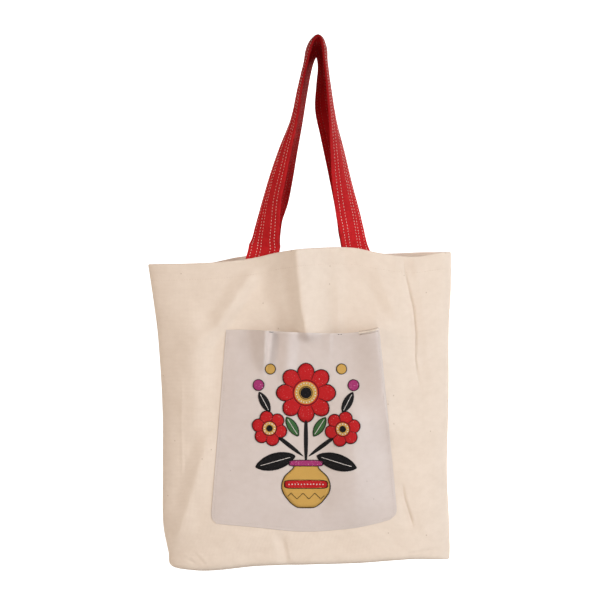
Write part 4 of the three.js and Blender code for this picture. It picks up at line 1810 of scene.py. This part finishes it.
# Lines and knots on the pot and round the hearts of the blossoms
ZIGZAG_REACH = 21.0
ZIGZAG_STEP = 7.0
ZIGZAG_UP = -77.5
POT_ROW_REACH = 20.0
POT_ROW_UP = -60.0
HEART_RINGS = ((0, 48, 11.3), (43, 6, 6.2), (-43, 6, 6.2))
# Moves the threads of each shape, so that no two shapes show the same run of them
CLOTH_SHIFT = (3.7, 2.9)
PATCH_RINGS = 7
PATCH_POINTS = 64


@dataclass
class PocketDecoration:
    """Stitched flowers in the place where the pocket is decorated.

    Attributes:
        pocket: The pocket that they are stitched on.
        threads: Materials of the filled shapes, by the name of the thread.
    """

    pocket: PatchPocket
    threads: dict[str, bpy.types.Material]

    def motifs(self) -> list[Motif]:
        """Gives every shape, with the mirror images."""
        every = []
        for motif in DESIGN:
            every.append(motif)
            if motif.twin:
                every.append(motif.mirrored())
        return every

    def _patch(self, motif: Motif) -> tuple[np.ndarray, np.ndarray, np.ndarray]:
        """Builds one filled shape as a thin closed cushion of thread.

        Args:
            motif: The shape.

        Returns:
            Its points, its faces and its cloth coordinates.
        """
        outline = motif.outline(PATCH_POINTS)
        shares = np.linspace(1.0, 0.04, PATCH_RINGS)
        flat = outline[None, :, :] * shares[:, None, None]
        spot = motif.placed(flat)
        x = DESIGN_CENTRE[0] + spot[..., 0]
        z = DESIGN_CENTRE[1] + spot[..., 1]
        base = LAYER_STEP * motif.layer
        top = self.pocket.lifted(x, z, base + PATCH_EDGE + PATCH_CUSHION * (1 - shares[:, None] ** 5))
        low = self.pocket.lifted(x, z, np.full(x.shape, base - PATCH_SINK))
        number = np.arange(PATCH_RINGS * PATCH_POINTS).reshape(PATCH_RINGS, PATCH_POINTS)
        count = number.size
        after = np.roll(number, -1, axis=1)
        up = np.stack([number[:-1], after[:-1], after[1:], number[1:]], axis=-1).reshape(-1, 4)
        under = up[:, ::-1] + count
        rim = np.stack([number[0] + count, after[0] + count, after[0], number[0]], axis=-1)
        faces = [face for part in (up, under, rim) for face in part.tolist()]
        faces.append(number[-1].tolist())
        faces.append((number[-1][::-1] + count).tolist())
        points = np.concatenate([top.reshape(-1, 3), low.reshape(-1, 3)])
        cloth = np.concatenate([flat.reshape(-1, 2), flat.reshape(-1, 2)])
        return points, faces, cloth

    def build(self) -> list[bpy.types.Object]:
        """Builds the filled shapes, one piece for each thread.

        Returns:
            The pieces.
        """
        pieces = []
        for name, material in self.threads.items():
            points, faces, cloth = [], [], []
            count = 0
            for motif in self.motifs():
                if motif.thread != name:
                    continue
                more_points, more_faces, more_cloth = self._patch(motif)
                points.append(more_points)
                cloth.append(more_cloth + np.array(motif.centre) * CLOTH_SHIFT)
                faces += [[corner + count for corner in face] for face in more_faces]
                count += len(more_points)
            piece = write_mesh("stitched_" + name, np.concatenate(points), faces, np.concatenate(cloth))
            piece.data.materials.append(material)
            pieces.append(piece)
        return pieces

    def edge_lines(self) -> list[StitchLine]:
        """Gives the outlines of the shapes that a dark line runs round."""
        lines = []
        for motif in self.motifs():
            if motif.edged:
                spot = motif.placed(motif.outline(PATCH_POINTS * 2))
                lines.append(self._line(spot, LAYER_STEP * motif.layer + OUTLINE_LIFT))
        return lines

    def detail_lines(self) -> list[StitchLine]:
        """Gives the lines between the petals and the zigzag round the belly of the pot."""
        lines = []
        for motif in self.motifs():
            for petal in range(motif.petals):
                turn = 2 * math.pi * (petal + 0.5) / motif.petals
                radius = np.linspace(0.5, 0.74, 12) * motif.size[0] / 2
                ray = np.stack([radius * math.cos(turn), radius * math.sin(turn)], axis=1)
                lines.append(self._line(motif.placed(ray), LAYER_STEP * motif.layer + PETAL_LIFT, False))
        right = np.linspace(-ZIGZAG_REACH, ZIGZAG_REACH, 85)
        zigzag = np.abs((right / ZIGZAG_STEP + 0.5) % 2 - 1) * ZIGZAG_STEP + ZIGZAG_UP
        lines.append(self._line(np.stack([right, zigzag], axis=1), ZIGZAG_LIFT, False))
        return lines

    def vein_lines(self) -> list[StitchLine]:
        """Gives the pale line along the middle of each edged leaf."""
        lines = []
        for motif in self.motifs():
            if motif.shape is Shape.LEAF and motif.edged:
                along = np.linspace(-0.36, 0.36, 24) * motif.size[0]
                vein = np.stack([along, np.zeros(24)], axis=1)
                lines.append(self._line(motif.placed(vein), LAYER_STEP * motif.layer + VEIN_LIFT, False))
        return lines

    def knot_lines(self) -> list[StitchLine]:
        """Gives the rings of pale knots round the blossoms' hearts, and the row of them on the pot."""
        t = np.linspace(0.0, 2 * math.pi, 60, endpoint=False)
        lines = []
        for right, up, radius in HEART_RINGS:
            ring = np.stack([right + radius * np.cos(t), up + radius * np.sin(t)], axis=1)
            lines.append(self._line(ring, HEART_KNOT_LIFT))
        across = np.linspace(-POT_ROW_REACH, POT_ROW_REACH, 40)
        row = np.stack([across, np.full(40, POT_ROW_UP)], axis=1)
        lines.append(self._line(row, POT_KNOT_LIFT, False))
        return lines

    def _line(self, spot: np.ndarray, height: float, closed: bool = True) -> StitchLine:
        """Gives a line over the pocket.

        Args:
            spot: Right and up of its points in the decoration.
            height: Height over the pocket.
            closed: Whether its last point joins the first.

        Returns:
            The line.
        """
        x = DESIGN_CENTRE[0] + spot[:, 0]
        z = DESIGN_CENTRE[1] + spot[:, 1]
        points = self.pocket.lifted(x, z, np.full(x.shape, height))
        return StitchLine(points, np.tile([0.0, -1.0, 0.0], (len(x), 1)), closed)


# Studio


@dataclass(frozen=True)
class Studio:
    """Pale floor and backdrop, soft light, and the camera of the photograph.

    Attributes:
        eye: Place of the camera.
        lens: Focal length that frames 0.72 m at the bag.
        floor: Height of the floor.
        near: Y where the floor starts.
        rise: Y where the floor gives way to the backdrop.
        back: Y of the upright part of the backdrop.
        bend: Radius of the curve below it.
        top: Height of its top edge.
        reach: Half width of the floor and the backdrop.
        card: Half size of the cards that shade the straps.
        aim: Place that the lights point at.
    """

    eye: tuple[float, float, float] = (-0.021, -2.0, -0.3116)
    lens: float = 100.0
    floor: float = -1.1
    near: float = -6.0
    rise: float = 2.0
    back: float = 5.0
    bend: float = 1.2
    top: float = 6.0
    reach: float = 7.0
    card: float = 0.12
    aim: tuple[float, float, float] = (-0.02, 0.0, -0.42)

    def build(self) -> None:
        """Sets up the camera, the lights and the backdrop."""
        scene = bpy.context.scene
        scene.view_settings.view_transform = "Standard"
        camera = bpy.data.cameras.new("photo_camera")
        camera.lens = self.lens
        camera.sensor_width = 36.0
        stand = bpy.data.objects.new("photo_camera", camera)
        stand.location = self.eye
        stand.rotation_euler = (math.radians(90.0), 0.0, 0.0)
        scene.collection.objects.link(stand)
        scene.camera = stand
        self._light("right_softbox", (3.7, -3.2, 1.1), 2.4, 214.0, "#f3f6fa")
        self._light("left_softbox", (-4.1, -2.6, 1.0), 2.0, 113.0, "#fff4ea")
        self._light("back_softbox", (2.7, 3.5, 1.7), 2.0, 140.0, "#fffaf4")
        self._flag("right_flag", (0.33, -0.29, 0.1))
        self._flag("left_flag", (-0.38, -0.24, 0.155))
        scene.world = self._room()
        self._sweep()

    def _room(self) -> bpy.types.World:
        """Gives the dim warm light of a room whose walls still look pale."""
        world = bpy.data.worlds.new("soft_room")
        world.use_nodes = True
        tree = world.node_tree
        light = tree.nodes["Background"]
        light.inputs["Color"].default_value = linear("#ffeee0")
        light.inputs["Strength"].default_value = 0.14
        walls = add_node(tree, "ShaderNodeBackground", {}, {"Color": linear("#dedbd7")})
        seen = tree.nodes.new("ShaderNodeLightPath").outputs["Is Camera Ray"]
        both = add_node(tree, "ShaderNodeMixShader", {}, {0: seen, 1: light.outputs[0], 2: walls.outputs[0]})
        tree.links.new(both.outputs[0], tree.nodes["World Output"].inputs["Surface"])
        return world

    def _flag(self, name: str, place: tuple[float, float, float]) -> None:
        """Adds a dark card, out of sight, that keeps a softbox off the top of the straps.

        Args:
            name: Name of the card.
            place: Its middle.
        """
        middle = Vector(place)
        across = Vector((-place[1], place[0], 0.0)).normalized() * self.card
        up = Vector((0.0, 0.0, self.card))
        mesh = bpy.data.meshes.new(name)
        corners = [middle - across - up, middle + across - up, middle + across + up, middle - across + up]
        mesh.from_pydata(corners, [], [(0, 1, 2, 3)])
        card = new_piece(name, mesh)
        card.visible_camera = False
        card.visible_diffuse = False
        card.visible_glossy = False

    def _light(
        self, name: str, place: tuple[float, float, float], size: float, power: float, tint: str
    ) -> None:
        """Adds one square soft light aimed at the bag.

        Args:
            name: Name of the light.
            place: Where it stands.
            size: Length of its side.
            power: Power in watts.
            tint: Its colour.
        """
        light = bpy.data.lights.new(name, "AREA")
        light.shape = "SQUARE"
        light.size = size
        light.energy = power
        light.color = linear(tint)[:3]
        lamp = bpy.data.objects.new(name, light)
        lamp.location = place
        aim = Vector(self.aim) - Vector(place)
        lamp.rotation_euler = aim.to_track_quat("-Z", "Y").to_euler()
        bpy.context.scene.collection.objects.link(lamp)

    def _sweep(self) -> None:
        """Adds the floor and the backdrop that it curves up into, which puts no glow on the bag."""
        floor = [(self.near, self.floor), (-self.rise, self.floor), (self.rise, self.floor)]
        rise = [floor[-1]]
        for step in range(SWEEP_STEPS + 1):
            turn = math.pi / 2 * step / SWEEP_STEPS
            depth = self.back - self.bend + self.bend * math.sin(turn)
            rise.append((depth, self.floor + self.bend - self.bend * math.cos(turn)))
        rise.append((self.back, self.top))
        paper = StudioPaper().material()
        for name, line in (("studio_floor", floor), ("studio_backdrop", rise)):
            points = [(x, y, z) for y, z in line for x in (-self.reach, self.reach)]
            faces = [(2 * i, 2 * i + 1, 2 * i + 3, 2 * i + 2) for i in range(len(line) - 1)]
            mesh = bpy.data.meshes.new(name)
            mesh.from_pydata(points, [], faces)
            sheet = new_piece(name, mesh)
            mesh.materials.append(paper)
            sheet.visible_diffuse = line is floor
            sheet.visible_glossy = line is floor


# Natural canvas, plain woven: warm and matte, with thick threads and small brown seed flecks
CREAM_CANVAS = WovenCloth(
    "natural_cotton_canvas",
    "#ebdbcb",
    "#e4d3c2",
    "#b1977c",
    pitch=0.8,
    relief=0.2,
    slub=0.12,
    flecks=0.12,
    rough=0.92,
    sheen=0.06,
)
# Sateen, woven smooth: greyer than the canvas, with a faint gloss on its folds
GREY_COTTON = WovenCloth(
    "grey_cotton_sateen",
    "#d9ccc5",
    "#d3c5bd",
    "#b7a79d",
    pitch=0.6,
    relief=0.14,
    slub=0.1,
    flecks=0.08,
    rough=0.42,
    sheen=0.15,
    gloss=0.45,
)
# Twill, woven slantwise: a deep matte red with darker threads and bits of lint
RED_COTTON = WovenCloth(
    "red_cotton_twill",
    "#ce2428",
    "#b41a1f",
    "#c9545a",
    pitch=0.7,
    relief=0.3,
    slub=0.25,
    flecks=0.1,
    rough=0.85,
    sheen=0.0,
    diagonal=True,
)
# Topstitching of the straps: spun cotton that looks like pale pink dashes on the red
PALE_THREAD = SewingThread("pale_cotton_thread", "#fbdfd6", "#efbdb2")
# Thread on the inner faces of the straps: spun cotton that hardly shows in the shade
ROSE_THREAD = SewingThread("rose_cotton_thread", "#d6938c", "#c27a74")
# Thread of the hem: spun cotton a little darker than the canvas
CREAM_THREAD = SewingThread("cream_cotton_thread", "#e6d5c4", "#d3bfab")
# Thread round the pocket: spun cotton of nearly the pocket's own grey
GREY_THREAD = SewingThread("grey_cotton_thread", "#d8ccc4", "#c9bcb3")
# Bound end of the mouth: spun cotton that looks like a light lip, with two thin brown lines beside it that
# are painted shadow along the lip's edges
BINDING_THREAD = SewingThread("binding_cotton_thread", "#f6ebdc", "#ecdfce")
# Painted shadow: brown thread laid along both edges of the bound lip, where the lip's edges throw shade
PAINTED_SHADOW_THREAD = SewingThread("painted_shadow_line_thread", "#a8917e", "#97816f")
# Lines of the decoration: spun cotton, near black round the shapes and off-white over them
BLACK_THREAD = SewingThread("black_cotton_thread", "#0f0d0e", "#1c191b")
WHITE_THREAD = SewingThread("white_cotton_thread", "#f3eee9", "#dfd6cf")
# Filled shapes of the decoration: rows of embroidery thread with a soft glint and specks between the rows
FILLS = {
    "red": ThreadFill("red_embroidery_thread", "#cb1d22", "#e4b0aa", rough=0.6, speckle=0.04),
    "black": ThreadFill("black_embroidery_thread", "#100e10", "#4a4547", rough=0.6, speckle=0.1),
    "ochre": ThreadFill("ochre_embroidery_thread", "#dcae5c", "#c79a48", rough=0.55, speckle=0.05),
    "green": ThreadFill("green_embroidery_thread", "#3f6b3a", "#27442a", rough=0.55, speckle=0.1),
    "magenta": ThreadFill("magenta_embroidery_thread", "#b03a77", "#e3b4cd", rough=0.5, speckle=0.1),
}

# Sizes of the stitches
STRAP_STITCH = Stitch(pitch=3.7, length=2.3, width=0.72, wander=0.12, tilt=0.08)
UNDER_STITCH = Stitch(pitch=3.7, length=2.6, width=0.5, wander=0.12, tilt=0.08)
HEM_STITCH = Stitch(pitch=3.2, length=2.4, width=0.5, wander=0.12, tilt=0.06)
POCKET_STITCH = Stitch(pitch=2.8, length=2.1, width=0.5, wander=0.1, tilt=0.06)
EDGE_STITCH = Stitch(pitch=1.9, length=2.5, width=1.15, wander=0.08, tilt=0.06)
DETAIL_STITCH = Stitch(pitch=1.7, length=2.2, width=0.85, wander=0.08, tilt=0.06)
KNOT_STITCH = Stitch(pitch=3.4, length=1.7, width=1.7, wander=0.1, tilt=0.0)
TACK_STITCH = Stitch(pitch=1.4, length=2.0, width=0.7, wander=0.2, tilt=0.4)
BINDING_STITCH = Stitch(pitch=1.2, length=2.4, width=2.0, wander=0.05, tilt=0.04)
# Thin brown stitches that paint the shadow along the lip's edges
SHADOW_LINE_STITCH = Stitch(pitch=1.5, length=2.4, width=0.5, wander=0.1, tilt=0.06)

# Places down the pocket of the bound end of its mouth and of the two painted shadow lines beside it
BINDING_DEPTHS = (0.003,)
SHADOW_LINE_DEPTHS = (-0.0045, 0.0125)


def report(piece: bpy.types.Object) -> None:
    """Logs a finished piece."""
    LOG.info("%s: %d faces", piece.name, len(piece.data.polygons))


def attach(piece: bpy.types.Object) -> None:
    """Lets a piece of trim ride on the bag, and logs it.

    Args:
        piece: The trim.
    """
    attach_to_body(piece, "root")
    report(piece)


def main() -> None:
    """Builds the bag piece by piece and sets it in the studio."""
    logging.basicConfig(level=logging.INFO, format="%(name)s %(message)s")
    Studio().build()
    front = CanvasPanel(
        "canvas_front", "front_panel", Side.FRONT, FRONT_RIM, FRONT_FOLDS, FRONT_CREASES, FRONT_CRUMPLE
    )
    back = CanvasPanel(
        "canvas_back", "back_panel", Side.BACK, BACK_RIM, BACK_FOLDS, BACK_CREASES, BACK_CRUMPLE
    )
    pocket = PatchPocket("patch_pocket", "front_pocket", front)
    front.covered = pocket.covers
    straps = (
        StrapHandle("strap_front", "front_handle", Side.FRONT, front, FRONT_HANDLE),
        StrapHandle("strap_back", "back_handle", Side.BACK, back, BACK_HANDLE),
    )
    canvas = CREAM_CANVAS.material()
    grey = GREY_COTTON.material()
    red = RED_COTTON.material()
    maker = StitchMaker()

    for panel in (front, back):
        piece = panel.build()
        panel.dress(piece, canvas)
        report(piece)
    hems = maker.lay(
        "hem_stitches",
        [front.hem_line(), back.hem_line()],
        HEM_STITCH,
        CREAM_THREAD.material(),
        seed=3,
    )
    attach(hems)

    piece = pocket.build()
    pocket.dress(piece, grey)
    report(piece)
    sewn = maker.lay("pocket_stitches", pocket.edge_lines(), POCKET_STITCH, GREY_THREAD.material(), seed=5)
    attach(sewn)
    black = BLACK_THREAD.material()
    attach(maker.lay("mouth_tacks", pocket.mouth_tacks(), TACK_STITCH, black, seed=6))
    lip = pocket.binding_lines(BINDING_DEPTHS)
    binding = maker.lay("mouth_binding", lip, BINDING_STITCH, BINDING_THREAD.material(), seed=18)
    attach(binding)
    # Brown thread along both edges of the lip, as painted shadow
    shadow_traces = pocket.binding_lines(SHADOW_LINE_DEPTHS)
    edges = maker.lay("painted_shadow_lines", shadow_traces, SHADOW_LINE_STITCH, PAINTED_SHADOW_THREAD.material(), seed=19)
    attach(edges)

    pale = PALE_THREAD.material()
    rose = ROSE_THREAD.material()
    for number, strap in enumerate(straps):
        piece = strap.build()
        strap.dress(piece, red)
        report(piece)
        outer = strap.stitch_lines(1)
        rows = maker.lay(strap.name + "_stitches", outer, STRAP_STITCH, pale, seed=7 + number)
        attach(rows)
        inner = strap.stitch_lines(-1)
        under = maker.lay(strap.name + "_under", inner, UNDER_STITCH, rose, seed=20 + number)
        attach(under)

    decoration = PocketDecoration(pocket, {name: fill.material() for name, fill in FILLS.items()})
    for piece in decoration.build():
        attach(piece)
    white = WHITE_THREAD.material()
    threadwork = (
        ("stitched_outlines", decoration.edge_lines(), EDGE_STITCH, black, 13),
        ("stitched_details", decoration.detail_lines(), DETAIL_STITCH, black, 14),
        ("stitched_veins", decoration.vein_lines(), DETAIL_STITCH, white, 15),
        ("stitched_knots", decoration.knot_lines(), KNOT_STITCH, white, 17),
    )
    for name, lines, stitch, thread, seed in threadwork:
        attach(maker.lay(name, lines, stitch, thread, seed))


if __name__ == "__main__":
    main()
